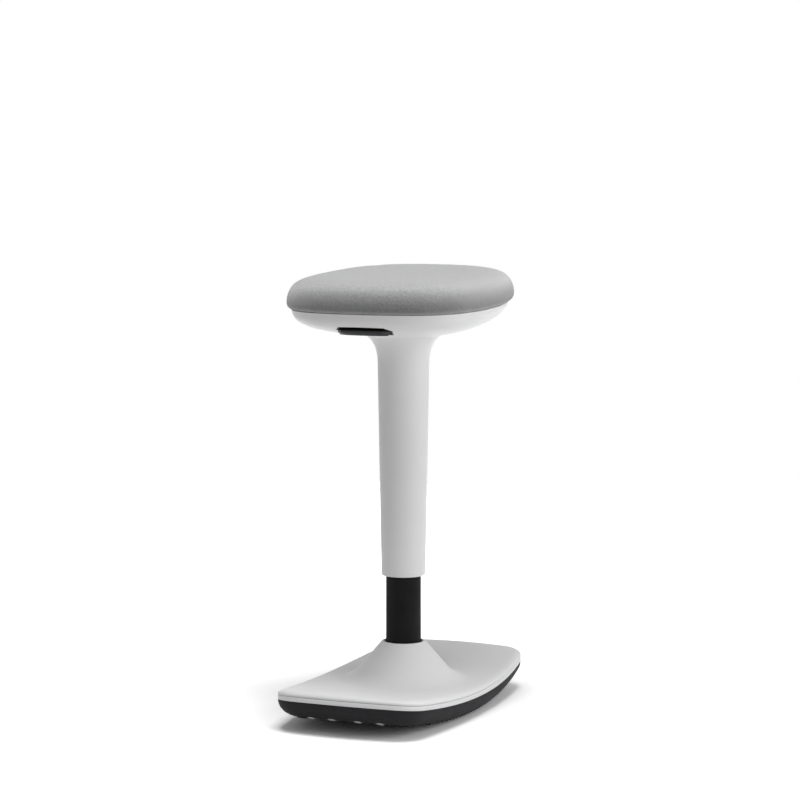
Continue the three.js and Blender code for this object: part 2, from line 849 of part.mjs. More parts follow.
// Piston rod, held below the tube's floor by a washer and a clip in its groove
const rodFoot = tubeFoot - rodTail;
const washerTop = tubeFoot - restGap;
const clipTop = washerTop - washerThick - restGap;
const clipBase = clipTop - clipThick;
const grooveRadius = rodRadius - rodGroove;
const shoulderBase = upperRaceBase + raceThick + restGap;
const rodHeadBase = pistonBase + pistonHeight + restGap;
place('piston_rod', turned([
  [0, rodFoot],
  [rodRadius, rodFoot],
  [rodRadius, clipBase - restGap],
  [grooveRadius, clipBase - restGap],
  [grooveRadius, clipTop + restGap],
  [rodRadius, clipTop + restGap],
  [rodRadius, shoulderBase],
  [rodHeadRadius, shoulderBase],
  [rodHeadRadius, shoulderBase + rodHeadHeight],
  [rodRadius, shoulderBase + rodHeadHeight],
  [rodRadius, rodHeadBase],
  [rodHeadRadius, rodHeadBase],
  [rodHeadRadius, rodHeadBase + rodHeadHeight],
  [0, rodHeadBase + rodHeadHeight],
], smallSides), 'steel');
const washerBase = washerTop - washerThick;
place('rod_washer', collar(rodBore, washerRadius, washerBase, washerTop, smallSides), 'zinc');
place('rod_clip', collar(grooveRadius + runGap, clipRadius, clipBase, clipTop, smallSides), 'steel');

const cylinderBore = cylinderRadius - cylinderWall;
place('piston', collar(
  rodBore,
  cylinderBore - runGap,
  pistonBase,
  pistonBase + pistonHeight,
), 'blackPlastic');

// Gas cylinder: open foot, tapered head with a bore for the valve pin
const taperFoot = cylinderHead - taperLength;
const valveBore = valveRadius + runGap;
place('gas_cylinder', turned([
  [cylinderBore, cylinderFoot],
  [cylinderRadius, cylinderFoot],
  [cylinderRadius, taperFoot],
  [cylinderRadius - taperIn, cylinderHead],
  [valveBore, cylinderHead],
  [valveBore, cylinderHead - cylinderCap],
  [cylinderBore - taperIn, cylinderHead - cylinderCap],
  [cylinderBore, taperFoot],
]), 'blackPaint');
place('rod_guide', collar(
  rodBore,
  cylinderBore - runGap,
  cylinderFoot + guideSink,
  cylinderFoot + guideSink + guideLength,
), 'blackPlastic');
const valveTop = cylinderHead + valveProud;
place('valve_pin', rod(valveRadius, valveTop - valveStem, valveTop), 'steel');

// Seat outline at an inset, in the stool's own frame
function seatOutline(inset) {
  return seatPlan(inset).map(([x, y]) => [x, y - seatForward]);
}

function scaledOutline(outline, share) {
  return outline.map(([x, y]) => [x * share, (y + seatForward) * share - seatForward * share]);
}

// Bowl: how deep the shell hangs below its rim on the way in, at the front and at the rear
const bowlReachShares = [1, 0.98, 0.94, 0.87, 0.75, 0.64, 0.52];
const bowlFrontShares = [0, 0.27, 0.46, 0.6, 0.73, 0.82, 0.91];
const bowlRearShares = [0, 0.08, 0.22, 0.42, 0.64, 0.79, 0.9];

const neckStepShares = [0, 0.25, 0.5, 0.7, 0.85];
const neckHeight = (share) => sleeveHead + neckRise * Math.sin((share * Math.PI) / 2);
const neckRadius = (share) => sleeveHeadRadius + neckRun * (1 - Math.cos((share * Math.PI) / 2));
const bowlFloor = neckHeight(neckStepShares.at(-1));

function levelRing(radius, height) {
  return circleLike(seatPlan, radius).map(([x, y]) => new THREE.Vector3(x, y, height));
}

function bowlRing(k) {
  const reach = bowlReachShares[k];
  return seatOutline(0).map(([rimX, rimY]) => {
    const x = rimX * reach;
    const y = rimY * reach;
    const frontShare = (1 - y / Math.hypot(x, y)) / 2;
    const depthShare = bowlFrontShares[k] * frontShare + bowlRearShares[k] * (1 - frontShare);
    const rim = seamSheet(rimX, rimY);
    return new THREE.Vector3(x, y, rim + (bowlFloor - rim) * depthShare);
  });
}

function shellRings() {
  const rings = [];
  const corner = sleeveLip * (1 - Math.SQRT1_2);
  rings.push(levelRing(sleeveFootRadius - corner, sleeveFoot + corner));
  rings.push(levelRing(sleeveFootRadius, sleeveFoot + sleeveLip));
  neckStepShares.forEach((share) => rings.push(levelRing(neckRadius(share), neckHeight(share))));
  for (let k = bowlReachShares.length - 1; k >= 0; k -= 1) {
    rings.push(bowlRing(k));
  }
  return rings;
}

const shellOuter = shellRings();

// The outside of sleeve and bowl as one filled body, moved in or out by a wall
function filledShell(wall) {
  return toSolid(skin(offsetRings(shellOuter, wall), 'fan'));
}

const seatScrewPlaces = fourPlaces(shellBossX, shellBossY).map(([x, y]) => [x, y - seatForward]);
const panUnder = (x, y) => seamSheet(x, y) - panThick;

// Plan of the paddle at an inset: bowed front, cut corners, and sides that draw in to the rear
function paddlePlan(inset) {
  const front = inset - paddleFront;
  const half = paddleHalfWidth - inset;
  const frontHalf = half - paddleCorner;
  const right = [
    [frontHalf / 2, front + paddleBow / 4],
    [frontHalf, front + paddleBow],
    [half, paddleBow + paddleCorner - paddleFront],
    [half - paddleTaper, paddleDepth - paddleFront - inset],
  ];
  const left = right.map(([x, y]) => [-x, y]);
  return [[0, front], ...right, ...left.reverse()];
}

function paddleRing(inset, height) {
  return paddlePlan(inset).map(([x, y]) => new THREE.Vector3(x, y, height));
}

function paddlePrism(inset, low, high) {
  return skin([paddleRing(inset, low), paddleRing(inset, high)], 'fan');
}

// Lever window and its liner
const linerOut = linerGap + linerWall;
const windowBack = paddleDepth - paddleFront + linerOut;
const paddleTop = paddleBase + paddleThick;
const paddleArc = paddleFront + pivotY;
const linerCeiling = paddleTop + paddleArc * Math.sin(leverTravel) + restGap;
const linerTop = linerCeiling + linerWall;
const linerFoot = bowlFloor - shellWall;
const armRoot = (paddleTop + paddleBase) / 2;
const slotHalf = armHalfWidth + linerGap;

function makeShell() {
  const rim = shellOuter.length - 1;
  const inner = offsetRings(shellOuter, shellWall);
  inner[rim] = seatOutline(shellWall).map(([x, y]) => new THREE.Vector3(x, y, seamSheet(x, y)));
  const footLip = levelRing(sleeveFootRadius - sleeveLip, sleeveFoot);
  // The inside needs only every other ring, and both ends
  const lining = inner.filter((_, k) => k > 0 && (k === rim || (rim - k) % 2 === 0 || k === 1));
  const body = toSolid(skin([footLip, ...shellOuter, ...lining.reverse()], 'loop'));
  const bossSpace = filledShell(shellWall / 2);
  const bosses = seatScrewPlaces.map(([x, y]) => {
    const boss = toSolid(rod(shellBossRadius, bowlFloor, panUnder(x, y) - shellWall).translate(x, y, 0));
    return boss.intersect(bossSpace);
  });
  const joined = bosses.reduce((left, boss) => left.add(boss), body);
  const cuts = seatScrewPlaces.map(([x, y]) => {
    const top = panUnder(x, y);
    return rod(shellScrewRadius + screwGap, top - shellWall - shellScrewReach, top).translate(x, y, 0);
  });
  cuts.push(paddlePrism(-linerOut - restGap, linerFoot - cutOver, linerTop + restGap));
  // Room for the lever's arm behind the window
  const armUnder = armRoot - armThick / 2 - linerGap;
  cuts.push(box(-slotHalf, slotHalf, windowBack, windowBack + armSlotRun, armUnder, linerTop));
  return fromSolid(cutAll(joined, cuts));
}

place('seat_shell', makeShell(), 'whitePlastic');

// Seat pan: a sheet of even thickness with a flat pad for the bracket underneath
const padFace = bracketTop + restGap;
function panRing(share, drop) {
  const outline = seatOutline(panInset);
  return scaledOutline(outline, share).map(([x, y]) => new THREE.Vector3(x, y, seamSheet(x, y) - drop));
}

const panBoltPlaces = fourPlaces(panBoltX, panBoltY);

const panStepShares = [1 / 3, 2 / 3, 1];
function makePan() {
  const sheet = toSolid(skin([
    ...panStepShares.map((share) => panRing(share, panThick)),
    ...panStepShares.toReversed().map((share) => panRing(share, 0)),
  ], 'fan'));
  const pad = box(-mountPadX, mountPadX, -mountPadY, mountPadY, padFace, seamHeight - panThick / 2);
  const feet = seatScrewPlaces.map(([x, y]) => {
    const foot = panUnder(x, y);
    return rod(shellBossRadius, foot - shellWall + restGap, foot + shellWall).translate(x, y, 0);
  });
  const cuts = panBoltPlaces.flatMap(([x, y]) => {
    const top = seamSheet(x, y);
    const barrel = rod(tNutRadius + screwGap, padFace - cutOver, top + cutOver);
    const recess = rod(tNutFlange + fitGap, top - tNutSink, top + tNutSink + cutOver);
    return [barrel.translate(x, y, 0), recess.translate(x, y, 0)];
  });
  seatScrewPlaces.forEach(([x, y]) => {
    const top = seamSheet(x, y);
    const hole = rod(shellScrewRadius + screwGap, top - panThick - shellWall - cutOver, top + cutOver);
    const sink = rod(shellScrewHead + fitGap, top - shellScrewHeadHeight - restGap, top + cutOver);
    cuts.push(hole.translate(x, y, 0), sink.translate(x, y, 0));
  });
  return fromSolid(cutAll(joinAll(sheet, [pad, ...feet]), cuts));
}

place('seat_pan', makePan(), 'blackPlastic');

// T-nuts in the pan, bolts from below through the bracket's top plate
panBoltPlaces.forEach(([x, y], i) => {
  const flangeUnder = seamSheet(x, y) - tNutSink + restGap / 2;
  const bore = panBoltRadius + screwGap;
  const nut = turned([
    [bore, flangeUnder - tNutLength],
    [tNutRadius, flangeUnder - tNutLength],
    [tNutRadius, flangeUnder],
    [tNutFlange, flangeUnder],
    [tNutFlange, flangeUnder + tNutFlangeThick],
    [bore, flangeUnder + tNutFlangeThick],
  ], smallSides);
  place(`t_nut_${i + 1}`, nut, 'zinc').position.set(x, y, 0);
  const headBase = bracketTop - bracketSheet - restGap - panBoltHeadHeight;
  const bolt = headedPin(panBoltHead, panBoltHeadHeight, panBoltRadius, headBase, panBoltLength);
  place(`pan_bolt_${i + 1}`, bolt, 'zinc').position.set(x, y, 0);
});

seatScrewPlaces.forEach(([x, y], i) => {
  const headTop = seamSheet(x, y) - restGap / 2;
  const headBase = headTop - shellScrewHeadHeight + restGap / 2;
  const tip = headBase - panThick + shellScrewHeadHeight - shellScrewReach;
  const screw = turned([
    [0, tip],
    [shellScrewRadius, tip],
    [shellScrewRadius, headBase],
    [shellScrewHead, headBase],
    [shellScrewHead, headTop],
    [0, headTop],
  ], smallSides);
  place(`shell_screw_${i + 1}`, screw, 'zinc').position.set(x, y, 0);
});

// Cushion: its foot follows the seam's sheet, its side draws in to the seam, and its top
// slopes to the front, rises a little to the rear and rolls over at the edge.
const crownSheet = (y) => crownHeight + crownSlopeShare * y + (y * y) / (2 * crownRadius);
const edgeHeight = (share) => {
  const full = (1 - share ** edgePowerShare) ** (1 / edgeRootShare);
  return tuckRiseShare + (1 - tuckRiseShare) * full;
};

function cushionRing(outline, riseShare) {
  return outline.map(([x, y]) => {
    const foot = seamSheet(x, y) + restGap;
    return new THREE.Vector3(x, y, foot + (crownSheet(y) - foot) * riseShare);
  });
}

const tuckStepShares = [0, 0.3, 0.65, 1];
const underStepShares = [0.3, 0.6, 0.85];
const topStepShares = [0.995, 0.985, 0.965, 0.935, 0.895, 0.84, 0.75, 0.5, 0.25];
function makeCushion() {
  const rings = [];
  const foot = seatOutline(cushionTuck);
  for (const share of underStepShares) {
    rings.push(cushionRing(scaledOutline(foot, share), 0));
  }
  for (const share of tuckStepShares) {
    const angle = (share * Math.PI) / 2;
    const inset = cushionTuck - (cushionTuck + cushionOverhang) * Math.sin(angle);
    rings.push(cushionRing(seatOutline(inset), tuckRiseShare * (1 - Math.cos(angle))));
  }
  const widest = seatOutline(-cushionOverhang);
  for (const share of topStepShares) {
    rings.push(cushionRing(scaledOutline(widest, share), edgeHeight(share)));
  }
  return skin(rings, 'fan');
}

place('seat_cushion', makeCushion(), 'fabric');

// Seat bracket: top plate, cheeks, web and tapered socket in one welded piece
const cheekOut = cheekGap + bracketSheet;
const webBase = webTop - bracketSheet;
function makeBracket() {
  const plateUnder = bracketTop - bracketSheet;
  const plate = box(-bracketHalfX, bracketHalfX, -bracketHalfY, bracketHalfY, plateUnder, bracketTop);
  const web = box(-cheekOut, cheekOut, -cheekHalfY, cheekHalfY, webBase, webTop);
  const cheeks = [-1, 1].map((side) => {
    const middle = side * (cheekGap + bracketSheet / 2);
    const half = bracketSheet / 2;
    return box(middle - half, middle + half, -cheekHalfY, cheekHalfY, webBase, bracketTop);
  });
  const boss = rod(coneSocketRadius, taperFoot, webTop, roundSides);
  const solid = joinAll(toSolid(plate), [web, ...cheeks, boss]);
  const bore = turned([
    [0, taperFoot - cutOver],
    [cylinderRadius + runGap, taperFoot - cutOver],
    [cylinderRadius + runGap, taperFoot],
    [cylinderRadius - taperIn + runGap, cylinderHead],
    [cylinderRadius - taperIn + runGap, cylinderHead + cutOver],
    [0, cylinderHead + cutOver],
  ]);
  const boltHoles = panBoltPlaces.map(([x, y]) => {
    const hole = rod(panBoltRadius + screwGap, plateUnder - cutOver, bracketTop + cutOver);
    return hole.translate(x, y, 0);
  });
  const pinHole = rod(pinRadius + runGap, -cheekOut - cutOver, cheekOut + cutOver);
  pinHole.rotateY(Math.PI / 2).translate(0, pivotY, pivotHeight);
  return fromSolid(cutAll(solid, [bore, ...boltHoles, pinHole]));
}

place('seat_bracket', makeBracket(), 'blackPaint');

// Lever liner: a case without a floor, trimmed just inside the shell's outer face
function makeLiner() {
  const hollow = paddlePrism(-linerGap, linerFoot - cutOver, linerCeiling);
  const slot = box(
    -slotHalf,
    slotHalf,
    windowBack - linerWall - cutOver,
    windowBack + cutOver,
    linerFoot - cutOver,
    linerCeiling,
  );
  const body = toSolid(paddlePrism(-linerOut, linerFoot, linerTop));
  const solid = body.intersect(filledShell(linerSink));
  return fromSolid(cutAll(solid, [hollow, slot]));
}

place('lever_liner', makeLiner(), 'blackPlastic');

// Lever: a wide paddle in the liner, an arm to the pivot's hub, and a finger over the valve pin
const fingerBase = valveTop + restGap;
const fingerTop = fingerBase + armThick;

// A side view in [y, z], extruded across X.
function sideProfile(points, halfWidth) {
  const shape = new THREE.Shape(points.map(([y, z]) => new THREE.Vector2(y, z)));
  const geometry = new THREE.ExtrudeGeometry(shape, { depth: 2 * halfWidth, bevelEnabled: false });
  geometry.rotateZ(Math.PI / 2).rotateY(Math.PI / 2);
  return geometry.translate(-halfWidth, 0, 0);
}

function makeLever() {
  const back = paddleDepth - paddleFront;
  const blade = toSolid(skin([
    paddleRing(paddleChamfer, paddleBase),
    paddleRing(0, paddleBase + paddleChamfer),
    paddleRing(0, paddleTop - paddleChamfer / 2),
    paddleRing(paddleChamfer / 2, paddleTop),
  ], 'fan'));
  const armBack = armReach + valveRadius;
  const hubLow = pivotHeight - hubRadius / 2;
  const hubHigh = pivotHeight + hubRadius / 2;
  const arm = sideProfile([
    [back - armThick, armRoot - armThick / 2],
    [back + armThick, armRoot - armThick / 2],
    [pivotY, hubLow],
    [pivotY + hubRadius, fingerBase],
    [armBack, fingerBase],
    [armBack, fingerTop],
    [pivotY, hubHigh],
    [back + armThick, armRoot + armThick / 2],
    [back - armThick, armRoot + armThick / 2],
  ], armHalfWidth);
  const hub = rod(hubRadius, -cheekGap + runGap, cheekGap - runGap);
  hub.rotateY(Math.PI / 2).translate(0, pivotY, pivotHeight);
  const bore = rod(pinRadius + runGap, -cheekGap - cutOver, cheekGap + cutOver);
  bore.rotateY(Math.PI / 2).translate(0, pivotY, pivotHeight);
  return fromSolid(cutAll(joinAll(blade, [arm, hub]), [bore]));
}

place('lever_paddle', makeLever(), 'blackPlastic');

// Pivot pin across the cheeks, with a head at one end and a clip at the other
const pinStart = -cheekOut - pinTail;
const pinEnd = cheekOut + runGap;
const leverPin = place('lever_pin', turned([
  [0, pinStart],
  [pinRadius, pinStart],
  [pinRadius, pinEnd],
  [pinHead, pinEnd],
  [pinHead, pinEnd + pinHeadThick],
  [0, pinEnd + pinHeadThick],
], smallSides), 'steel');
leverPin.position.set(0, pivotY, pivotHeight);
leverPin.rotation.y = Math.PI / 2;
const pinClip = place('pin_clip', collar(
  pinRadius + runGap,
  pinClipRadius,
  -cheekOut - runGap - pinClipThick,
  -cheekOut - runGap,
  smallSides,
), 'steel');
pinClip.position.copy(leverPin.position);
pinClip.rotation.y = Math.PI / 2;

// Return spring: a coil round the hub, between the arm and a cheek
class CoilCurve extends THREE.Curve {
  getPoint(t, target = new THREE.Vector3()) {
    const angle = t * springTurns * 2 * Math.PI;
    const radius = hubRadius + springCoilGap + springWire;
    const along = (t - 0.5) * springTurns * springPitch;
    return target.set(along, radius * Math.cos(angle), radius * Math.sin(angle));
  }
}

const springSection = new THREE.Shape(Array.from({ length: springSides }, (_, i) => {
  const angle = (i * 2 * Math.PI) / springSides;
  return new THREE.Vector2(springWire * Math.cos(angle), springWire * Math.sin(angle));
}));
const spring = place('lever_spring', new THREE.ExtrudeGeometry(springSection, {
  extrudePath: new CoilCurve(),
  steps: springTurns * springTurnSteps,
  bevelEnabled: false,
}), 'steel');
spring.position.set((armHalfWidth + cheekGap) / 2, pivotY, pivotHeight);

export default stool;
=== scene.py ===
import json
import math

import bmesh
import bpy
import numpy as np
from mathutils import Matrix, Vector
from mathutils.bvhtree import BVHTree


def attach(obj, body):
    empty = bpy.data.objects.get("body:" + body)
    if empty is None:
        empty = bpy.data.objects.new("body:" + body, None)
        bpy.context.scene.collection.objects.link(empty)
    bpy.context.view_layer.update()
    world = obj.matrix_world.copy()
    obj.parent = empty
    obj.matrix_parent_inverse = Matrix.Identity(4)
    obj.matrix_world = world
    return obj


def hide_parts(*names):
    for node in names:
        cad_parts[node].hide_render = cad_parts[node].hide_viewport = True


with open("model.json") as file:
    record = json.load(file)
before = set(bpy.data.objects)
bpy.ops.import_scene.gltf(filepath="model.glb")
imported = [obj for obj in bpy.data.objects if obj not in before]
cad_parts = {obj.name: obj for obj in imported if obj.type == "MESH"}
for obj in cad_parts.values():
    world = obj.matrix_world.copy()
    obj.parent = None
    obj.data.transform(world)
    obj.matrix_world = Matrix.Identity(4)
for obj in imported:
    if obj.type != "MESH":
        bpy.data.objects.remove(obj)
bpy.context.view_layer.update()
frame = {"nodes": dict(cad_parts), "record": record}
MM = 0.001

# Base. A plan is its half width, half length, and the radii of its sides, ends and corners
BASE_PLAN = (124, 227.5, 1140, 480, 42)
ROCKER_RADIUS = 1100  # of the underside, along Y
SEAM_RADIUS = 1530  # of the seam, the rim and the cover, along Y
UNDERSIDE = 1.2  # above the floor, under the column
SOLE_DEPTH = 27.5  # from the seam down, and how far in the rounded edge reaches
SOLE_WALL = 3.2
SOLE_SOFT = 0.5  # of the sole's upper edge, as every SOFT is of an edge
SEAM = UNDERSIDE + SOLE_DEPTH
REST_GAP = 0.3
RIM_HEIGHT = 6.5
RIM_WIDTH = 16
RIM_FLANGE = 2.7
RIM_SOFT = 0.45
RIM_LIP_OUT = 4.99  # insets of the locating lip
RIM_LIP_IN = 7.59
RIM_LIP_DROP = 5
RIM_BASE = SEAM + REST_GAP
RIM_TOP = RIM_BASE + RIM_HEIGHT
SHADOW_GAP = 0.5
COVER_EDGE = 6.3
COVER_SOFT = 0.5
COVER_BASE = RIM_TOP + SHADOW_GAP
COVER_TOP = COVER_BASE + COVER_EDGE
COVER_ROUND = 4.6  # how high the edge rolls over, and how far in
COVER_ROUND_RUN = 12
COVER_WALL = 3
COLLAR_TOP = 97.3
COLLAR_BORE = 27.3
COLLAR_LIP = 2
COLLAR_ROUND = 3
COLLAR_SOFT = 0.7
COLLAR_DEPTH = 10
FLANK_ANGLE = math.radians(49.6)
FLANK_BLEND = 21  # how far the foot of the flank blends each way
STUD_PROUD = 1.8
STUD_RADIUS = 11
STUD_PITCH = 60
STUD_INSET = 38
STUD_ROWS = 3  # on each side of the middle row
STUD_GROOVES = (4.2, 7.2)
FOOT_RADIUS = 26
FOOT_GROOVES = (8, 12.5, 17, 21.5)
GROOVE_DEPTH = 0.7
GROOVE_HALF = 0.8
GROOVE_FLAT = 0.5
TREAD_ROUND = 1
TREAD_FLARE = 0.4  # how much wider a stud is inside the sole
GLIDE_INSET = 20
GLIDE_X = (-51.5, -19.5, 19.5, 51.5)
GLIDE_RADIUS = 5.5
GLIDE_STEM = 3
GLIDE_DOME = ((0, -1), (2.75, -0.99), (4.2, -0.95), (5, -0.85), (5.4, -0.68), (GLIDE_RADIUS, -0.5))
GLIDE_BACK = -0.3  # of the dome, with the stem above it
BASE_SCREWS = ((-88, -150), (88, -150), (-88, 150), (88, 150), (0, -186), (0, 186))
BASE_SCREW_SINK = 6
BASE_SCREW_HEAD = 4.6
BASE_SCREW_HEAD_HEIGHT = 3.2
BASE_SCREW_RADIUS = 2.1
BASE_SCREW_REACH = 8.5
BASE_SCREW_SOFT = 0.4
BASE_SCREW_TIP = 0.5
BASE_SCREW_KEY = 2
BASE_SCREW_KEY_DEPTH = BASE_SCREW_HEAD_HEIGHT * 0.6
KEY_OVER = 1
SINK_RADIUS = 5.4
SINK_OVER = 9  # overrun of the cut
CUP_BORE = 2.4
CUP_SINK = 5.38
CUP_RADIUS = 7.2
CUP_FOOT = (1.1, 1.8)  # heights of its foot, at the sink and outside

# Column
TUBE_RADIUS = 25
TUBE_WALL = 2
TUBE_TOP = 330
TUBE_FOOT = 14.9
TUBE_FOOT_RADIUS = 24.2
TUBE_FOOT_ROUND = 0.5
TUBE_FLOOR = 3
TUBE_FLOOR_BORE = 6
TUBE_TAPER_TOP = 84
TUBE_ROUND = 0.6
SEAL_PROFILE = ((25.3, 90.3, 0.4), (27, 90.3, 0.4), (27, 96, 0.4), (26.4, 96.5, 0.2), (25.3, 95.6, 0.3))
SLEEVE_FOOT = 192.5
SLEEVE_FOOT_RADIUS = 31.45
SLEEVE_HEAD_RADIUS = 36.6
SLEEVE_LENGTH = 304.5
SLEEVE_HEAD = SLEEVE_FOOT + SLEEVE_LENGTH
SLEEVE_LIP = 3
SLEEVE_ROUND = SLEEVE_LIP * 0.4
NECK_RUN = 24
NECK_RISE = 39
NECK_END = 0.85  # share of the quarter turn at which the bowl takes over
NECK_LAST = 0.86  # shares of that share: the last of the even rings, and the next
NECK_NEXT = 0.93
BOWL_FLOOR = SLEEVE_HEAD + NECK_RISE * math.sin(NECK_END * math.pi / 2)
SHELL_WALL = 3
SHELL_SOFT = 0.5

# Seat
SEAT_PLAN = (144.5, 157, 270, 250, 98)
SEAT_FORWARD = 8
SEAM_HEIGHT = 580.8
SADDLE_RADIUS = 6670
SEAT_SLOPE = 0.054
BOWL_REACH = (1, 0.98, 0.94, 0.87, 0.75, 0.64, 0.52)  # shares of the plan, then of the depth
BOWL_FRONT = (0, 0.27, 0.46, 0.6, 0.73, 0.82, 0.91)
BOWL_REAR = (0, 0.08, 0.22, 0.42, 0.64, 0.79, 0.9)
CROWN_HEIGHT = 621.3
CROWN_SLOPE = 0.0477
CROWN_RADIUS = 2930
CUSHION_OVERHANG = 7
CUSHION_TUCK = 1.5
TUCK_RISE = 0.186  # share of the height at which the cushion is widest
EDGE_POWER = 13.2
EDGE_ROOT = 2
SLACK = 1.5  # how much smaller the cloth starts
SLACK_FOOT = 0.3  # share of it at the foot, and how much of it the crown leaves out
SLACK_LESS = 0.5
SWELL_CAP = 3.0  # the most that it swells
PUFF_KEPT = 0.15  # share kept of what stands off the full shape
VOXEL = 3.2
HELD_LOW = 1.5  # the cloth is held up to here above the seam, and less over the run
HELD_RUN = 6
CLOTH_FRAMES = 20

# Lever
PADDLE_FRONT = 151.6
PADDLE_DEPTH = 43.6
PADDLE_HALF = 39
PADDLE_TAPER = 12.5
PADDLE_BOW = 3.5
PADDLE_CORNER = 8
PADDLE_CHAMFER = 3.4
PADDLE_SOFT = 0.35
PADDLE_BASE = 544.14
PADDLE_TOP = 552.34
GRIP_GROOVES = 5
GRIP_START = 12
GRIP_PITCH = 4.5
GRIP_HALF = 0.9
GRIP_DEPTH = 0.8
GRIP_REACH = 24
GRIP_OVER = 1
LINER_WALL = 1.6
LINER_GAP = 1.3
LINER_SINK = 0.6
LINER_TOP = 562.86
LINER_FOOT = 531.9
ARM_SLOT_HALF = 9.3
ARM_SLOT_RUN = 24
ARM_SLOT_FOOT = 544.4
LINER_SLOT_HALF = 9.5
ARM_HALF = 8
ARM_THICK = 5
ARM_SOFT = 0.6
ARM_ROOT = 5  # how far the arm reaches into the paddle
ARM_FINGER = 550.8
ARM_END = 10
PIVOT = (0, -28, 553.5)
HUB_BORE = 3.3
HUB_RADIUS = 5.5
HUB_HALF = 26.7
HUB_SOFT = 0.3
CUT_OVER = 4  # overrun of the cuts round the lever

# Fineness of the curved pieces, and the shares at which their rings lie
BASE_QUARTER = (10, 14, 8)
SEAT_QUARTER = (10, 14, 10)
ROUND_SIDES = 96
SMALL_SIDES = 32
SMOOTH_ANGLE = 32
CUSHION_SMOOTH_ANGLE = 60
ROLL_STEPS = 12
SOLE_STEPS = 12
BLEND_STEPS = 14
LIP_STEPS = 7
NECK_STEPS = 12
FOOT_STEPS = 5
TUCK_STEPS = 7
BOWL_STEPS = 4
FLANK_SHARES = (0.33, 0.67)
PLATE_SHARES = (0.03, 0.08, 0.16, 0.28, 0.42, 0.56, 0.7, 0.85)
SOLE_SHARES = (0.93, 0.82, 0.7, 0.56, 0.42, 0.28, 0.14, 0.04)
SLEEVE_SHARES = (0.25, 0.5, 0.75, 0.93)
BOW_SHARES = (0.2, 0.4, 0.6, 0.8, 1.0)
FOOT_SHARES = (0.1, 0.3, 0.5, 0.7, 0.85, 0.95)
TOP_SHARES = (
    0.9992, 0.9975, 0.995, 0.991, 0.986, 0.98, 0.973, 0.964, 0.953, 0.94, 0.925, 0.905, 0.88, 0.85, 0.81,
    0.76, 0.7, 0.62, 0.54, 0.45, 0.35, 0.24, 0.12,
)
SOFT_SHARE = 0.3  # how near the middle of a softened edge stays to its faces
FILLET_SHARE = 0.45  # the most that a fillet takes of the lines beside it
LATHE_WELD = 0.0005
SOLE_WELD = 0.001
LINER_WELD = 0.01


# Plans and rings

def bulged_plan(half_width, half_length, side_radius, end_radius, corner_radius, counts):
    """A rectangle with bulging sides and round corners, as a function of the inset."""
    side_centre = half_width - side_radius
    end_centre = half_length - end_radius
    apart = math.hypot(side_centre, end_centre)
    from_side = side_radius - corner_radius
    from_end = end_radius - corner_radius
    along = (from_side**2 - from_end**2 + apart**2) / (2 * apart)
    across = math.sqrt(from_side**2 - along**2)
    corner_x = side_centre + (-side_centre * along - end_centre * across) / apart
    corner_y = (end_centre * along - side_centre * across) / apart
    side_end = math.atan2(corner_y, corner_x - side_centre)
    corner_end = math.atan2(corner_y - end_centre, corner_x)
    arcs = (
        (side_centre, 0, side_radius, 0, side_end),
        (corner_x, corner_y, corner_radius, side_end, corner_end),
        (0, end_centre, end_radius, corner_end, math.pi / 2),
    )
    quarter = []
    for (x, y, radius, start, end), count in zip(arcs, counts):
        quarter += [(x, y, radius, start + (end - start) * i / count) for i in range(count)]
    quarter.append((0, end_centre, end_radius, math.pi / 2))
    table = np.array(quarter)

    def outline(inset=0.0):
        first = np.stack([
            table[:, 0] + (table[:, 2] - inset) * np.cos(table[:, 3]),
            table[:, 1] + (table[:, 2] - inset) * np.sin(table[:, 3]),
        ], 1)
        second = first[:-1][::-1] * (-1, 1)
        upper = np.vstack([first, second])
        lower = upper[1:-1][::-1] * (1, -1)
        return np.vstack([upper, lower])

    return outline


base_plan = bulged_plan(*BASE_PLAN, BASE_QUARTER)
seat_plan = bulged_plan(*SEAT_PLAN, SEAT_QUARTER)


def circle_like(plan, radius):
    """A circle whose points lie in the directions of a plan's points."""
    outline = plan()
    angle = np.arctan2(outline[:, 1] / outline[:, 1].max(), outline[:, 0] / outline[:, 0].max())
    return radius * np.stack([np.cos(angle), np.sin(angle)], 1)


def rocker_rise(y):
    return y * y / (2 * ROCKER_RADIUS)


def seam_rise(y):
    return y * y / (2 * SEAM_RADIUS)


def at_height(outline, height):
    heights = np.broadcast_to(np.asarray(height, float), (len(outline),))
    return np.column_stack([outline, heights])


def rocker_ring(outline, height):
    """A ring at a height above the curve of the underside."""
    return at_height(outline, height + rocker_rise(outline[:, 1]))


def seam_ring(outline, height, share=1.0):
    """A ring at a height above the curve of the seam, which a share fades out."""
    return at_height(outline, height + share * seam_rise(outline[:, 1]))


def seam_sheet(x, y):
    return SEAM_HEIGHT + SEAT_SLOPE * y + (y * y - x * x) / (2 * SADDLE_RADIUS)


def crown_sheet(y):
    return CROWN_HEIGHT + CROWN_SLOPE * y + y * y / (2 * CROWN_RADIUS)


def seat_outline(inset=0.0):
    return seat_plan(inset) - (0, SEAT_FORWARD)


def shrunk(outline, share):
    middle = np.array((0, -SEAT_FORWARD))
    return (outline - middle) * share + middle


def offset_rings(rings, wall):
    """Rings moved along the surface's normals, inwards where wall is positive."""
    stack = np.array(rings)
    along = np.roll(stack, -1, 1) - np.roll(stack, 1, 1)
    across = np.gradient(stack, axis=0)
    normal = np.cross(across, along)
    normal /= np.linalg.norm(normal, axis=2, keepdims=True)
    return list(stack + normal * wall)


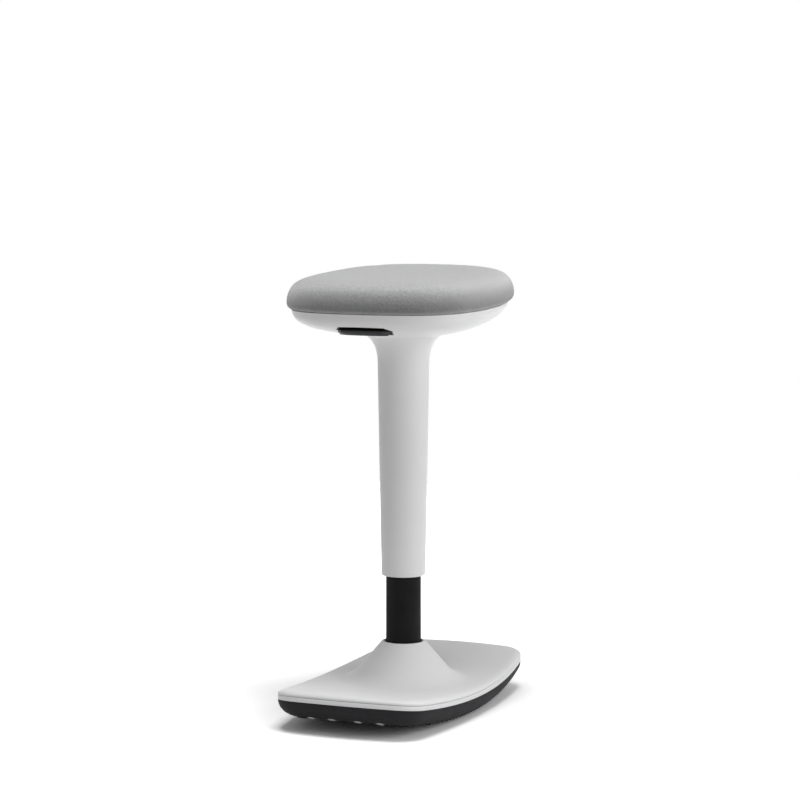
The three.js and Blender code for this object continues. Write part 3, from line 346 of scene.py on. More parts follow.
def through(rings, steps):
    """More rings between the given ones, on smooth curves through them."""
    stack = np.array(rings)
    gaps = np.linalg.norm(np.diff(stack, axis=0), axis=2).mean(axis=1)[:, None, None]
    pace = np.diff(stack, axis=0) / gaps
    middle = (pace[1:] * gaps[:-1] + pace[:-1] * gaps[1:]) / (gaps[1:] + gaps[:-1])
    tangents = np.concatenate([pace[:1], middle, pace[-1:]])
    made = []
    for k in range(len(stack) - 1):
        start, end = stack[k:k + 2]
        leave, arrive = tangents[k] * gaps[k], tangents[k + 1] * gaps[k]
        for i in range(steps):
            t = i / steps
            made.append(
                start + leave * t
                + (3 * (end - start) - 2 * leave - arrive) * t**2
                + (2 * (start - end) + leave + arrive) * t**3
            )
    made.append(stack[-1])
    return made


# Meshes

def new_object(name, points, faces, smooth_angle=SMOOTH_ANGLE):
    """An object from points in millimetres."""
    mesh = bpy.data.meshes.new(name)
    mesh.from_pydata([tuple(p) for p in np.asarray(points, float) * MM], [], faces)
    bm = bmesh.new()
    bm.from_mesh(mesh)
    bmesh.ops.recalc_face_normals(bm, faces=bm.faces)
    bm.to_mesh(mesh)
    bm.free()
    piece = bpy.data.objects.new(name, mesh)
    bpy.context.collection.objects.link(piece)
    shade(piece, smooth_angle)
    return piece


def shade(piece, degrees=SMOOTH_ANGLE):
    mesh = piece.data
    mesh.polygons.foreach_set("use_smooth", [True] * len(mesh.polygons))
    mesh.set_sharp_from_angle(angle=math.radians(degrees))
    mesh.update()


def ring_faces(count, bands, closed):
    faces = []
    rows = bands + 1
    for band in range(bands + (1 if closed else 0)):
        low = (band % rows) * count
        high = ((band + 1) % rows) * count
        for i in range(count):
            j = (i + 1) % count
            faces.append((low + i, low + j, high + j, high + i))
    return faces


def ring_object(name, rings, closed=False, caps=False, smooth_angle=SMOOTH_ANGLE):
    """A surface through rings of equal count: closed as a loop, capped, or left open."""
    count = len(rings[0])
    points = np.vstack(rings)
    faces = ring_faces(count, len(rings) - 1, closed)
    if caps:
        for ring, first in ((rings[0], 0), (rings[-1], (len(rings) - 1) * count)):
            middle = len(points)
            points = np.vstack([points, np.mean(ring, axis=0)])
            faces += [(first + i, first + (i + 1) % count, middle) for i in range(count)]
    return new_object(name, points, faces, smooth_angle)


def lathe_object(name, profile, sides=ROUND_SIDES, closed=True, smooth_angle=SMOOTH_ANGLE):
    """A turned piece from [radius, height] pairs. Points on the axis close it."""
    angles = np.arange(sides) * 2 * math.pi / sides
    rings = [
        np.column_stack([r * np.cos(angles), r * np.sin(angles), np.full(sides, z)])
        for r, z in profile
    ]
    piece = ring_object(name, rings, closed=closed, smooth_angle=smooth_angle)
    weld(piece, LATHE_WELD * MM)
    shade(piece, smooth_angle)
    return piece


def weld(piece, distance):
    bm = bmesh.new()
    bm.from_mesh(piece.data)
    bmesh.ops.remove_doubles(bm, verts=bm.verts, dist=distance)
    bmesh.ops.dissolve_degenerate(bm, edges=bm.edges, dist=distance)
    bmesh.ops.recalc_face_normals(bm, faces=bm.faces)
    bm.to_mesh(piece.data)
    bm.free()


def rounded(profile, radius, steps=4):
    """Rounds the corners of a [radius, height] profile, each by the radius given or by its own."""
    made = []
    count = len(profile)
    for i, point in enumerate(profile):
        here = np.array(point[:2], float)
        fillet = point[2] if len(point) > 2 else radius
        if fillet <= 0:
            made.append(tuple(here))
            continue
        before = np.array(profile[i - 1][:2], float) - here
        after = np.array(profile[(i + 1) % count][:2], float) - here
        back, ahead = np.linalg.norm(before), np.linalg.norm(after)
        reach = min(fillet, FILLET_SHARE * back, FILLET_SHARE * ahead)
        start = here + before / back * reach
        end = here + after / ahead * reach
        for k in range(steps + 1):
            t = k / steps
            made.append(tuple((1 - t)**2 * start + 2 * t * (1 - t) * here + t**2 * end))
    return made


def joined(name, parts):
    """One object from several, which are used up."""
    bm = bmesh.new()
    for part in parts:
        part.data.transform(part.matrix_world)
        bm.from_mesh(part.data)
        bpy.data.objects.remove(part)
    mesh = bpy.data.meshes.new(name)
    bm.to_mesh(mesh)
    bm.free()
    piece = bpy.data.objects.new(name, mesh)
    bpy.context.collection.objects.link(piece)
    return piece


def moved(piece, matrix):
    piece.data.transform(matrix)
    return piece


def applied(piece):
    """The piece with its modifiers worked into its mesh."""
    bpy.context.view_layer.update()
    graph = bpy.context.evaluated_depsgraph_get()
    mesh = bpy.data.meshes.new_from_object(piece.evaluated_get(graph))
    piece.modifiers.clear()
    piece.data = mesh
    return piece


def cut(piece, cutter, operation="DIFFERENCE"):
    boolean = piece.modifiers.new("cut", "BOOLEAN")
    boolean.operation = operation
    boolean.solver = "EXACT"
    boolean.object = cutter
    applied(piece)
    bpy.data.objects.remove(cutter)
    return piece


def bevelled(piece, width, segments=3, angle=30):
    bevel = piece.modifiers.new("bevel", "BEVEL")
    bevel.width = width * MM
    bevel.segments = segments
    bevel.limit_method = "ANGLE"
    bevel.angle_limit = math.radians(angle)
    applied(piece)
    shade(piece)
    return piece


def block(name, low, high):
    points = [(x, y, z) for x in (low[0], high[0]) for y in (low[1], high[1]) for z in (low[2], high[2])]
    faces = [(0, 1, 3, 2), (4, 6, 7, 5), (0, 4, 5, 1), (2, 3, 7, 6), (0, 2, 6, 4), (1, 5, 7, 3)]
    return new_object(name, points, faces)


def place(piece, body, slot_name, *nodes):
    """Gives a piece its body, its slot with the look of that name, and the nodes that it replaces."""
    piece.data.materials.clear()
    piece.data.materials.append(LOOKS[slot_name])
    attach(piece, body)
    if nodes:
        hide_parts(*nodes)
    return piece


# Materials. Features and depths are in metres, tints are factors, and ranges are of the noise

NOISE_RANGE = (0.3, 0.7)
METAL_RANGE = (0.35, 0.65)
RUB_RANGE = (0.58, 0.75)
YARN_RANGE = (0.38, 0.62)
# Painted shade: the span of the weave's height over which its hollows are painted darker
HOLLOW_SHADE_RANGE = (0.05, 0.75)
# Painted light: how far up the surface must face for the cushion's top to be painted lighter
PAINTED_TOP_LIGHT_RANGE = (0.1, 1.0)
CLOUD_FEATURE = 0.09
GLOSS_FEATURE = 0.03
GLOSS_SPREAD = 0.05
STREAK_FEATURE = 0.012
STREAK_STRETCH = (1, 1, 0.25)
RUBBED_GREY = (0.3, 0.3, 0.3)
METAL_CLOUD = 0.006
METAL_DEPTH = 0.00001
METAL_SHINE = 0.08
METAL_DULL = 0.1
WEAVE_PITCH = 0.0013
WOBBLE_SCALE = 90.0
WOBBLE_REACH = 0.0009  # how far the threads wander
YARN_FEATURE = 0.0013
YARN_STRETCH = 0.5
YARN_TINTS = (0.7, 1.3)
MOTTLE_FEATURE = 0.0045
MOTTLE_TINTS = (0.987, 1.013)
FABRIC_CLOUD = 0.08
FABRIC_CLOUD_TINTS = (0.985, 1.015)
# Painted shade: the weave's hollows painted darker, its raised threads a little lighter
HOLLOW_SHADE_TINTS = (0.72, 1.06)
# Painted light: how much lighter the cushion's up-facing top is painted than its sides
PAINTED_TOP_LIGHT_TINTS = (0.95, 2.5)
FUZZ_FEATURE = 0.0025
FUZZ_SHARE = 0.5
FABRIC_DEPTH = 0.0005
FABRIC_COLOUR = (0.19, 0.191, 0.193)


def node(tree, kind, settings=(), **inputs):
    """A shader node. Inputs are named with _ for a space, or input_N by number."""
    made = tree.nodes.new(kind)
    for key, value in dict(settings).items():
        setattr(made, key, value)
    for key, value in inputs.items():
        number = key.removeprefix("input_")
        socket = made.inputs[int(number)] if number.isdigit() else made.inputs[key.replace("_", " ")]
        if isinstance(value, bpy.types.NodeSocket):
            tree.links.new(value, socket)
        else:
            socket.default_value = value
    return made


def new_material(name, **sockets):
    made = bpy.data.materials.new(name)
    made.use_nodes = True
    tree = made.node_tree
    tree.nodes.clear()
    shader = node(tree, "ShaderNodeBsdfPrincipled")
    for key, value in sockets.items():
        shader.inputs[key.replace("_", " ")].default_value = value
    output = node(tree, "ShaderNodeOutputMaterial")
    tree.links.new(shader.outputs[0], output.inputs["Surface"])
    return made, tree, shader


def object_place(tree, scale=(1, 1, 1)):
    place_node = node(tree, "ShaderNodeTexCoord")
    mapping = node(tree, "ShaderNodeMapping", Vector=place_node.outputs["Object"])
    mapping.inputs["Scale"].default_value = scale
    return mapping.outputs[0]


def noise(tree, place_socket, feature, detail=3.0, rough=0.55):
    """Noise with features of a size in metres."""
    return node(
        tree, "ShaderNodeTexNoise", Vector=place_socket, Scale=1 / feature, Detail=detail, Roughness=rough
    ).outputs["Fac"]


def ramp(tree, factor, low, high, start=0.0, end=1.0):
    """A colour or grey that goes from low to high as the factor goes from start to end."""
    def rgba(value):
        return (value, value, value, 1) if isinstance(value, (int, float)) else (*value, 1)

    made = node(tree, "ShaderNodeValToRGB", Fac=factor)
    first, last = made.color_ramp.elements
    first.position, first.color = start, rgba(low)
    last.position, last.color = end, rgba(high)
    return made.outputs["Color"]


def math_node(tree, operation, first, second=0.0, third=0.0):
    return node(
        tree, "ShaderNodeMath", {"operation": operation}, input_0=first, input_1=second, input_2=third
    ).outputs[0]


def mixed(tree, factor, first, second, kind="MIX"):
    made = node(tree, "ShaderNodeMix", {"data_type": "RGBA", "blend_type": kind})
    for socket, value in zip((made.inputs[0], made.inputs[6], made.inputs[7]), (factor, first, second)):
        if isinstance(value, bpy.types.NodeSocket):
            tree.links.new(value, socket)
        else:
            socket.default_value = value if isinstance(value, (int, float)) else (*value, 1)
    return made.outputs[2]


def bumped(tree, shader, height, depth, strength=1.0):
    """A bump of a depth in metres."""
    made = node(tree, "ShaderNodeBump", Height=height, Distance=depth, Strength=strength)
    tree.links.new(made.outputs[0], shader.inputs["Normal"])


def tint(colour, factor):
    return tuple(min(1.0, channel * factor) for channel in colour)


def moulded(name, colour, roughness, grain=0.0005, depth=0.00003, spread=0.03, ior=1.4, worn=0.0):
    """Moulded plastic, rubber or paint: fine grain, faint cloudiness, and some rubbing."""
    made, tree, shader = new_material(name, IOR=ior)
    place_socket = object_place(tree)
    cloud = noise(tree, place_socket, CLOUD_FEATURE, 2.0)
    grit = noise(tree, place_socket, grain, 2.0)
    base = ramp(tree, cloud, tint(colour, 1 - spread), tint(colour, 1 + spread), *NOISE_RANGE)
    speck = ramp(tree, grit, 1 - spread / 2, 1 + spread / 2, *NOISE_RANGE)
    base = mixed(tree, 1.0, base, speck, "MULTIPLY")
    if worn:
        streak = noise(tree, object_place(tree, STREAK_STRETCH), STREAK_FEATURE, 5.0, 0.7)
        rub = ramp(tree, streak, 0.0, worn, *RUB_RANGE)
        base = mixed(tree, rub, base, RUBBED_GREY)
    tree.links.new(base, shader.inputs["Base Color"])
    patches = noise(tree, place_socket, GLOSS_FEATURE, 3.0)
    gloss = ramp(tree, patches, roughness - GLOSS_SPREAD, roughness + GLOSS_SPREAD, *NOISE_RANGE)
    tree.links.new(gloss, shader.inputs["Roughness"])
    bumped(tree, shader, grit, depth)
    return made


def metal(name, colour, roughness, stretch=(1, 1, 12), grain=0.0006, spread=0.06):
    """Ground or plated steel with fine marks drawn out along one axis."""
    made, tree, shader = new_material(name, Metallic=1.0)
    lines = noise(tree, object_place(tree, stretch), grain, 3.0, 0.6)
    cloud = noise(tree, object_place(tree), METAL_CLOUD, 3.0)
    base = ramp(tree, cloud, tint(colour, 1 - spread), tint(colour, 1 + spread), *METAL_RANGE)
    tree.links.new(base, shader.inputs["Base Color"])
    gloss = ramp(tree, lines, roughness - METAL_SHINE, roughness + METAL_DULL, *NOISE_RANGE)
    tree.links.new(gloss, shader.inputs["Roughness"])
    bumped(tree, shader, lines, METAL_DEPTH)
    return made


def woven(tree, coordinates, first, second):
    """A plain weave over two of the coordinates, as a height from 0 to 1."""
    threads = []
    for axis in (first, second):
        turn = math_node(tree, "MULTIPLY", coordinates[axis], math.pi / WEAVE_PITCH)
        threads.append(math_node(tree, "SINE", turn))
    crossing = math_node(tree, "MULTIPLY", threads[0], threads[1])
    over = math_node(tree, "MULTIPLY_ADD", crossing, 0.5, 0.5)
    round_first = math_node(tree, "ABSOLUTE", threads[0])
    round_second = math_node(tree, "ABSOLUTE", threads[1])
    along = math_node(tree, "MULTIPLY", over, round_first)
    across = math_node(tree, "MULTIPLY", math_node(tree, "SUBTRACT", 1.0, over), round_second)
    return math_node(tree, "ADD", along, across)


def fabric(name):
    """Close plain weave of melange yarn, laid over the cushion from above and from its sides."""
    made, tree, shader = new_material(
        name, Roughness=0.92, Specular_IOR_Level=0.15, Sheen_Weight=1.0, Sheen_Roughness=0.6
    )
    where = node(tree, "ShaderNodeTexCoord")
    wobble = node(
        tree, "ShaderNodeTexNoise", Vector=where.outputs["Object"], Scale=WOBBLE_SCALE, Detail=2.0
    )
    shift = node(
        tree, "ShaderNodeVectorMath", {"operation": "MULTIPLY_ADD"},
        input_0=wobble.outputs["Color"], input_1=(WOBBLE_REACH,) * 3, input_2=where.outputs["Object"],
    )
    split = node(tree, "ShaderNodeSeparateXYZ", Vector=shift.outputs[0])
    coordinates = list(split.outputs)
    facing = node(tree, "ShaderNodeSeparateXYZ", Vector=where.outputs["Normal"])
    weights = [
        math_node(tree, "POWER", math_node(tree, "ABSOLUTE", facing.outputs[axis]), 3.0) for axis in range(3)
    ]
    total = math_node(tree, "ADD", math_node(tree, "ADD", weights[0], weights[1]), weights[2])
    height = 0.0
    for axis, pair in enumerate(((1, 2), (0, 2), (0, 1))):
        share = math_node(tree, "DIVIDE", weights[axis], total)
        height = math_node(tree, "MULTIPLY_ADD", woven(tree, coordinates, *pair), share, height)
    # Yarn of two greys along X and Y, with a cloudier tone over it
    yarn_x = noise(tree, object_place(tree, (YARN_STRETCH, 1, 1)), YARN_FEATURE, 2.0)
    yarn_y = noise(tree, object_place(tree, (1, YARN_STRETCH, 1)), YARN_FEATURE, 2.0)
    yarn = math_node(tree, "MULTIPLY", math_node(tree, "ADD", yarn_x, yarn_y), 0.5)
    dark, pale = [tint(FABRIC_COLOUR, factor) for factor in YARN_TINTS]
    tone = ramp(tree, yarn, dark, pale, *YARN_RANGE)
    mottle = noise(tree, object_place(tree), MOTTLE_FEATURE, 3.0, 0.6)
    cloud = noise(tree, object_place(tree), FABRIC_CLOUD, 2.0)
    tone = mixed(tree, 1.0, tone, ramp(tree, mottle, *MOTTLE_TINTS, *NOISE_RANGE), "MULTIPLY")
    tone = mixed(tree, 1.0, tone, ramp(tree, cloud, *FABRIC_CLOUD_TINTS, *NOISE_RANGE), "MULTIPLY")
    # Painted shade: the hollows of the weave are painted darker, the raised threads a little lighter
    hollow = ramp(tree, height, *HOLLOW_SHADE_TINTS, *HOLLOW_SHADE_RANGE)
    tone = mixed(tree, 1.0, tone, hollow, "MULTIPLY")
    # Painted light: the up-facing top of the cushion is painted up to 2.5 times lighter than its sides
    rise = ramp(tree, facing.outputs["Z"], *PAINTED_TOP_LIGHT_TINTS, *PAINTED_TOP_LIGHT_RANGE)
    tone = mixed(tree, 1.0, tone, rise, "MULTIPLY")
    tree.links.new(tone, shader.inputs["Base Color"])
    fuzz = noise(tree, object_place(tree), FUZZ_FEATURE, 3.0)
    relief = math_node(tree, "MULTIPLY_ADD", fuzz, FUZZ_SHARE, height)
    bumped(tree, shader, relief, FABRIC_DEPTH)
    return made


# A look for each material slot
LOOKS = {
    "white_plastic": moulded(
        "white_plastic_look", (0.835, 0.835, 0.84), 0.5, depth=0.00002, spread=0.012, ior=1.25
    ),
    "black_rubber": moulded(
        "black_rubber_look", (0.017, 0.017, 0.0185), 0.72, depth=0.00005, spread=0.12, ior=1.24, worn=0.03
    ),
    "black_plastic": moulded("black_plastic_look", (0.022, 0.0225, 0.024), 0.45, spread=0.1, ior=1.3),
    "black_paint": moulded(
        "black_paint_look", (0.006, 0.006, 0.007), 0.78, grain=0.0012, depth=0.00002, spread=0.08, ior=1.24
    ),
    "grey_plastic": moulded("grey_plastic_look", (0.6, 0.61, 0.62), 0.35),
    "bright_steel": metal("bright_steel_look", (0.56, 0.57, 0.58), 0.3),
    "zinc_steel": metal(
        "zinc_steel_look", (0.62, 0.62, 0.6), 0.42, stretch=(1, 1, 1), grain=0.003, spread=0.12
    ),
    "seat_fabric": fabric("seat_fabric_look"),
}


# Smooth shading of the CAD nodes, as a modifier, so that their meshes stay as they are

def smoothing_group():
    group = bpy.data.node_groups.new("smooth_by_angle", "GeometryNodeTree")
    group.interface.new_socket("Geometry", in_out="INPUT", socket_type="NodeSocketGeometry")
    group.interface.new_socket("Geometry", in_out="OUTPUT", socket_type="NodeSocketGeometry")
    start = node(group, "NodeGroupInput")
    end = node(group, "NodeGroupOutput")
    angle = node(group, "GeometryNodeInputMeshEdgeAngle")
    sharp = node(group, "FunctionNodeCompare", {"operation": "GREATER_THAN"}, input_0=angle.outputs[0])
    sharp.inputs[1].default_value = math.radians(SMOOTH_ANGLE)
    faces = node(group, "GeometryNodeSetShadeSmooth", {"domain": "FACE"}, input_0=start.outputs[0])
    faces.inputs["Shade Smooth"].default_value = True
    edges = node(group, "GeometryNodeSetShadeSmooth", {"domain": "EDGE"}, input_0=faces.outputs[0])
    group.links.new(sharp.outputs[0], edges.inputs["Selection"])
    edges.inputs["Shade Smooth"].default_value = False
    group.links.new(edges.outputs[0], end.inputs[0])
    return group


smoothing = smoothing_group()
slots = {row["node"]: row["material_slot"] for row in frame["record"]["subparts"]}
for name, cad in frame["nodes"].items():
    cad.data.materials.clear()
    cad.data.materials.append(LOOKS[slots[name]])
    cad.modifiers.new("smooth", "NODES").node_group = smoothing


# Base cover with its cone and collar

def flank_ring(radius, height):
    """A ring of the cone, level at the collar and curved like the seam at its foot."""
    share = (COLLAR_TOP - height) / (COLLAR_TOP - COVER_TOP)
    return seam_ring(circle_like(base_plan, radius), height, share)


def cover_rings():
    collar_edge = COLLAR_BORE + COLLAR_LIP
    shoulder_radius = collar_edge + COLLAR_ROUND * math.sin(FLANK_ANGLE)
    shoulder_height = COLLAR_TOP - COLLAR_ROUND * (1 - math.cos(FLANK_ANGLE))
    flank_foot = shoulder_radius + (shoulder_height - COVER_TOP) / math.tan(FLANK_ANGLE)
    corner = COVER_SOFT * SOFT_SHARE
    rings = [
        seam_ring(base_plan(COVER_SOFT), COVER_BASE),
        seam_ring(base_plan(corner), COVER_BASE + corner),
        seam_ring(base_plan(0), COVER_BASE + COVER_SOFT),
    ]
    for angle in np.linspace(0, math.pi / 2, ROLL_STEPS):
        inset = COVER_ROUND_RUN * (1 - math.cos(angle))
        rings.append(seam_ring(base_plan(inset), COVER_TOP - COVER_ROUND * (1 - math.sin(angle))))
    plate_edge = base_plan(COVER_ROUND_RUN)
    blend_start = circle_like(base_plan, flank_foot + FLANK_BLEND)
    for share in PLATE_SHARES:
        rings.append(seam_ring(plate_edge + (blend_start - plate_edge) * share, COVER_TOP))
    up_x = -FLANK_BLEND * math.cos(FLANK_ANGLE)
    up_z = FLANK_BLEND * math.sin(FLANK_ANGLE)
    for t in np.linspace(0, 1, BLEND_STEPS):
        radius = flank_foot + FLANK_BLEND * (1 - t)**2 + up_x * t**2
        rings.append(flank_ring(radius, COVER_TOP + up_z * t**2))
    for t in FLANK_SHARES:
        rings.append(flank_ring(
            flank_foot + up_x + (shoulder_radius - flank_foot - up_x) * t,
            COVER_TOP + up_z + (shoulder_height - COVER_TOP - up_z) * t,
        ))
    for t in np.linspace(0, 1, LIP_STEPS):
        angle = FLANK_ANGLE * (1 - t)
        rings.append(flank_ring(
            collar_edge + COLLAR_ROUND * math.sin(angle),
            COLLAR_TOP - COLLAR_ROUND * (1 - math.cos(angle)),
        ))
    return rings


# The inside leaves out the corner and the roll of the edge, and the round of the collar
outer = cover_rings()
inner = offset_rings(outer, COVER_WALL)
inner = [seam_ring(base_plan(COVER_WALL), COVER_BASE), *inner[ROLL_STEPS + 3:1 - LIP_STEPS]]
corner = COLLAR_SOFT * SOFT_SHARE
lip = [
    flank_ring(COLLAR_BORE + COLLAR_SOFT, COLLAR_TOP),
    flank_ring(COLLAR_BORE + corner, COLLAR_TOP - corner),
    flank_ring(COLLAR_BORE, COLLAR_TOP - COLLAR_SOFT),
    flank_ring(COLLAR_BORE, COLLAR_TOP - COLLAR_DEPTH),
]
base_top = ring_object("base_top", [*outer, *lip, *inner[::-1]], closed=True)
place(base_top, "base", "white_plastic", "base_cover")


# Rim between the cover and the sole

corner = RIM_SOFT * SOFT_SHARE
flange_base = RIM_TOP - RIM_FLANGE
lip_base = RIM_BASE - RIM_LIP_DROP
rim_section = (
    (RIM_SOFT, RIM_BASE), (corner, RIM_BASE + corner), (0, RIM_BASE + RIM_SOFT),
    (0, RIM_TOP - RIM_SOFT), (corner, RIM_TOP - corner), (RIM_SOFT, RIM_TOP),
    (RIM_WIDTH, RIM_TOP), (RIM_WIDTH, flange_base), (RIM_LIP_IN, flange_base),
    (RIM_LIP_IN, lip_base), (RIM_LIP_OUT, lip_base), (RIM_LIP_OUT, RIM_BASE),
)
base_band = ring_object(
    "base_band", [seam_ring(base_plan(inset), height) for inset, height in rim_section], closed=True
)
place(base_band, "base", "white_plastic", "base_rim")


# Rocker sole

def side_x(y):
    half_width, _, side_radius, _, _ = BASE_PLAN
    return half_width - side_radius + math.sqrt(side_radius**2 - y * y)


def end_y(x):
    _, half_length, _, end_radius, _ = BASE_PLAN
    return half_length - end_radius + math.sqrt(end_radius**2 - x * x)


def sole_surface(wall):
    """From the curve of the seam down the rounded edge to the curve of the underside."""
    rings = []
    for angle in np.linspace(0, math.pi / 2, SOLE_STEPS):
        outline = base_plan(wall + (SOLE_DEPTH - wall) * (1 - math.cos(angle)))
        high = seam_ring(outline, SEAM)
        low = rocker_ring(outline, UNDERSIDE + wall)
        rings.append(high + (low - high) * math.sin(angle))
    flat = base_plan(SOLE_DEPTH)
    for share in SOLE_SHARES:
        rings.append(rocker_ring(flat * share, UNDERSIDE + wall))
    return rings


def tread(name, radius, grooves):
    """A round stud: rounded edge and ring grooves in its face, with its foot at height 0."""
    face = -STUD_PROUD
    floor = face + GROOVE_DEPTH
    profile = [(0, face)]
    for groove in grooves:
        profile += [
            (groove - GROOVE_HALF, face), (groove - GROOVE_FLAT, floor),
            (groove + GROOVE_FLAT, floor), (groove + GROOVE_HALF, face),
        ]
    edge = [(radius - 2 * TREAD_ROUND, face, 0), (radius, face), (radius + TREAD_FLARE, TREAD_ROUND, 0)]
    return lathe_object(name, profile + rounded(edge, TREAD_ROUND), sides=SMALL_SIDES * 2, closed=False)


def on_underside(x, y, height=0.0):
    """The place at a height above the underside."""
    return Matrix.Translation(Vector((x, y, UNDERSIDE + rocker_rise(y) + height)) * MM)


lip_ring = seam_ring(base_plan(SOLE_SOFT), SEAM)
top_ring = seam_ring(base_plan(0), SEAM - SOLE_SOFT)
sole_rings = [*sole_surface(SOLE_WALL)[::-1], lip_ring, top_ring, *sole_surface(0)[1:]]
sole = ring_object("sole_body", sole_rings, caps=True)
for x, y in BASE_SCREWS:
    sink_top = BASE_SCREW_SINK + SINK_OVER
    sink = lathe_object("sink", [
        (0, -SINK_OVER), (SINK_RADIUS, -SINK_OVER), (SINK_RADIUS, sink_top), (0, sink_top),
    ], sides=SMALL_SIDES)
    cut(sole, moved(sink, on_underside(x, y)))
parts = [sole]
for x, y in BASE_SCREWS:
    cup_top = SEAM + seam_rise(y) - REST_GAP - UNDERSIDE - rocker_rise(y)
    cup = lathe_object("cup", [
        (CUP_BORE, BASE_SCREW_SINK), (CUP_SINK, BASE_SCREW_SINK), (CUP_SINK, CUP_FOOT[0]),
        (CUP_RADIUS, CUP_FOOT[1]), (CUP_RADIUS, cup_top), (CUP_BORE, cup_top),
    ], sides=SMALL_SIDES)
    parts.append(moved(cup, on_underside(x, y)))
for row in range(-STUD_ROWS, STUD_ROWS + 1):
    y = row * STUD_PITCH
    tilt = Matrix.Rotation(math.atan(y / ROCKER_RADIUS), 4, "X")
    for side in (-1, 1):
        x = side * (side_x(y) - STUD_INSET)
        stud = tread("stud", STUD_RADIUS, STUD_GROOVES)
        parts.append(moved(stud, on_underside(x, y) @ tilt))
foot = tread("foot", FOOT_RADIUS, FOOT_GROOVES)
parts.append(moved(foot, on_underside(0, 0)))
sole = joined("sole_tub", parts)
for vertex in sole.data.vertices:
    vertex.co.z = max(vertex.co.z, 0.0)
weld(sole, SOLE_WELD * MM)
shade(sole)
place(sole, "base", "black_rubber", "rocker_sole")


# Glides at both ends

glide_profile = [
    *GLIDE_DOME, (GLIDE_RADIUS, GLIDE_BACK), (GLIDE_STEM, GLIDE_BACK),
    (GLIDE_STEM, SOLE_WALL), (0, SOLE_WALL),
]
inward_share = 1 - GLIDE_INSET / SOLE_DEPTH
drop_share = math.sqrt(1 - inward_share**2)
for word, end in (("front", -1), ("rear", 1)):
    for i, x in enumerate(GLIDE_X):
        y = end * (end_y(x) - GLIDE_INSET)
        top = SEAM + seam_rise(y)
        depth = top - UNDERSIDE - rocker_rise(y)
        slope = depth / SOLE_DEPTH * inward_share / drop_share
        tilt = math.atan(y / ROCKER_RADIUS) + end * math.atan(slope)
        glide = lathe_object(f"{word}_glide_cap_{i + 1}", glide_profile, sides=SMALL_SIDES, closed=False)
        where = Matrix.Translation(Vector((x, y, top - depth * drop_share)) * MM)
        moved(glide, where @ Matrix.Rotation(tilt, 4, "X"))
        place(glide, "base", "grey_plastic", f"{word}_glide_{i + 1}")


# Screws of the base

def drawn_out(name, low_face, high_face):
    """A closed body between two faces of equal corner count."""
    count = len(low_face)
    faces = [tuple(range(count)), tuple(range(count, 2 * count))]
    faces += [(i, (i + 1) % count, (i + 1) % count + count, i + count) for i in range(count)]
    return new_object(name, [*low_face, *high_face], faces)


def base_screw(name, length):
    """A screw with its head at the bottom and a six-sided socket in it, from height 0 up."""
    tip = BASE_SCREW_HEAD_HEIGHT + length
    screw = lathe_object(name, rounded([
        (0, 0), (BASE_SCREW_HEAD, 0, BASE_SCREW_SOFT), (BASE_SCREW_HEAD, BASE_SCREW_HEAD_HEIGHT),
        (BASE_SCREW_RADIUS, BASE_SCREW_HEAD_HEIGHT), (BASE_SCREW_RADIUS, tip, BASE_SCREW_TIP), (0, tip),
    ], 0), sides=SMALL_SIDES)
    ring = [
        (BASE_SCREW_KEY * math.cos(i * math.pi / 3), BASE_SCREW_KEY * math.sin(i * math.pi / 3))
        for i in range(6)
    ]
    low, high = [[(x, y, z) for x, y in ring] for z in (-KEY_OVER, BASE_SCREW_KEY_DEPTH)]
    cut(screw, drawn_out("key", low, high))
    shade(screw)
    return screw


for i, (x, y) in enumerate(BASE_SCREWS):
    head_top = BASE_SCREW_SINK - REST_GAP
    length = SEAM + seam_rise(y) + BASE_SCREW_REACH - UNDERSIDE - rocker_rise(y) - head_top
    screw = base_screw(f"base_socket_screw_{i + 1}", length)
    moved(screw, on_underside(x, y, head_top - BASE_SCREW_HEAD_HEIGHT))
    place(screw, "base", "zinc_steel", f"base_screw_{i + 1}")


# Column tube and its seal in the collar

floor_top = TUBE_FOOT + TUBE_FLOOR
tube = lathe_object("column_tube", rounded([
    (TUBE_FLOOR_BORE, TUBE_FOOT), (TUBE_FOOT_RADIUS, TUBE_FOOT, TUBE_FOOT_ROUND),
    (TUBE_RADIUS, TUBE_TAPER_TOP), (TUBE_RADIUS, TUBE_TOP, TUBE_ROUND),
    (TUBE_RADIUS - TUBE_WALL, TUBE_TOP, TUBE_ROUND), (TUBE_RADIUS - TUBE_WALL, TUBE_TAPER_TOP),
    (TUBE_FOOT_RADIUS - TUBE_WALL, floor_top), (TUBE_FLOOR_BORE, floor_top),
], 0))
place(tube, "base", "black_paint", "outer_tube")
seal = lathe_object("collar_seal", rounded(SEAL_PROFILE, 0))
place(seal, "base", "black_rubber", "column_seal")


# Seat shell, from the foot of the sleeve up to the seam

def on_seam(outline, height=0.0):
    """The outline on the sheet of the seat's seam, or at a height above it."""
    return at_height(outline, seam_sheet(*outline.T) + height)


def level_ring(radius, height):
    return at_height(circle_like(seat_plan, radius), height)


def neck_ring(share):
    angle = share * math.pi / 2
    return level_ring(
        SLEEVE_HEAD_RADIUS + NECK_RUN * (1 - math.cos(angle)), SLEEVE_HEAD + NECK_RISE * math.sin(angle)
    )


def bowl_ring(k):
    """A ring of the bowl: its depth under the rim differs from the front to the rear."""
    rim = seat_outline()
    place_xy = rim * BOWL_REACH[k]
    front = (1 - place_xy[:, 1] / np.linalg.norm(place_xy, axis=1)) / 2
    depth = BOWL_FRONT[k] * front + BOWL_REAR[k] * (1 - front)
    rim_height = seam_sheet(*rim.T)
    return at_height(place_xy, rim_height + (BOWL_FLOOR - rim_height) * depth)


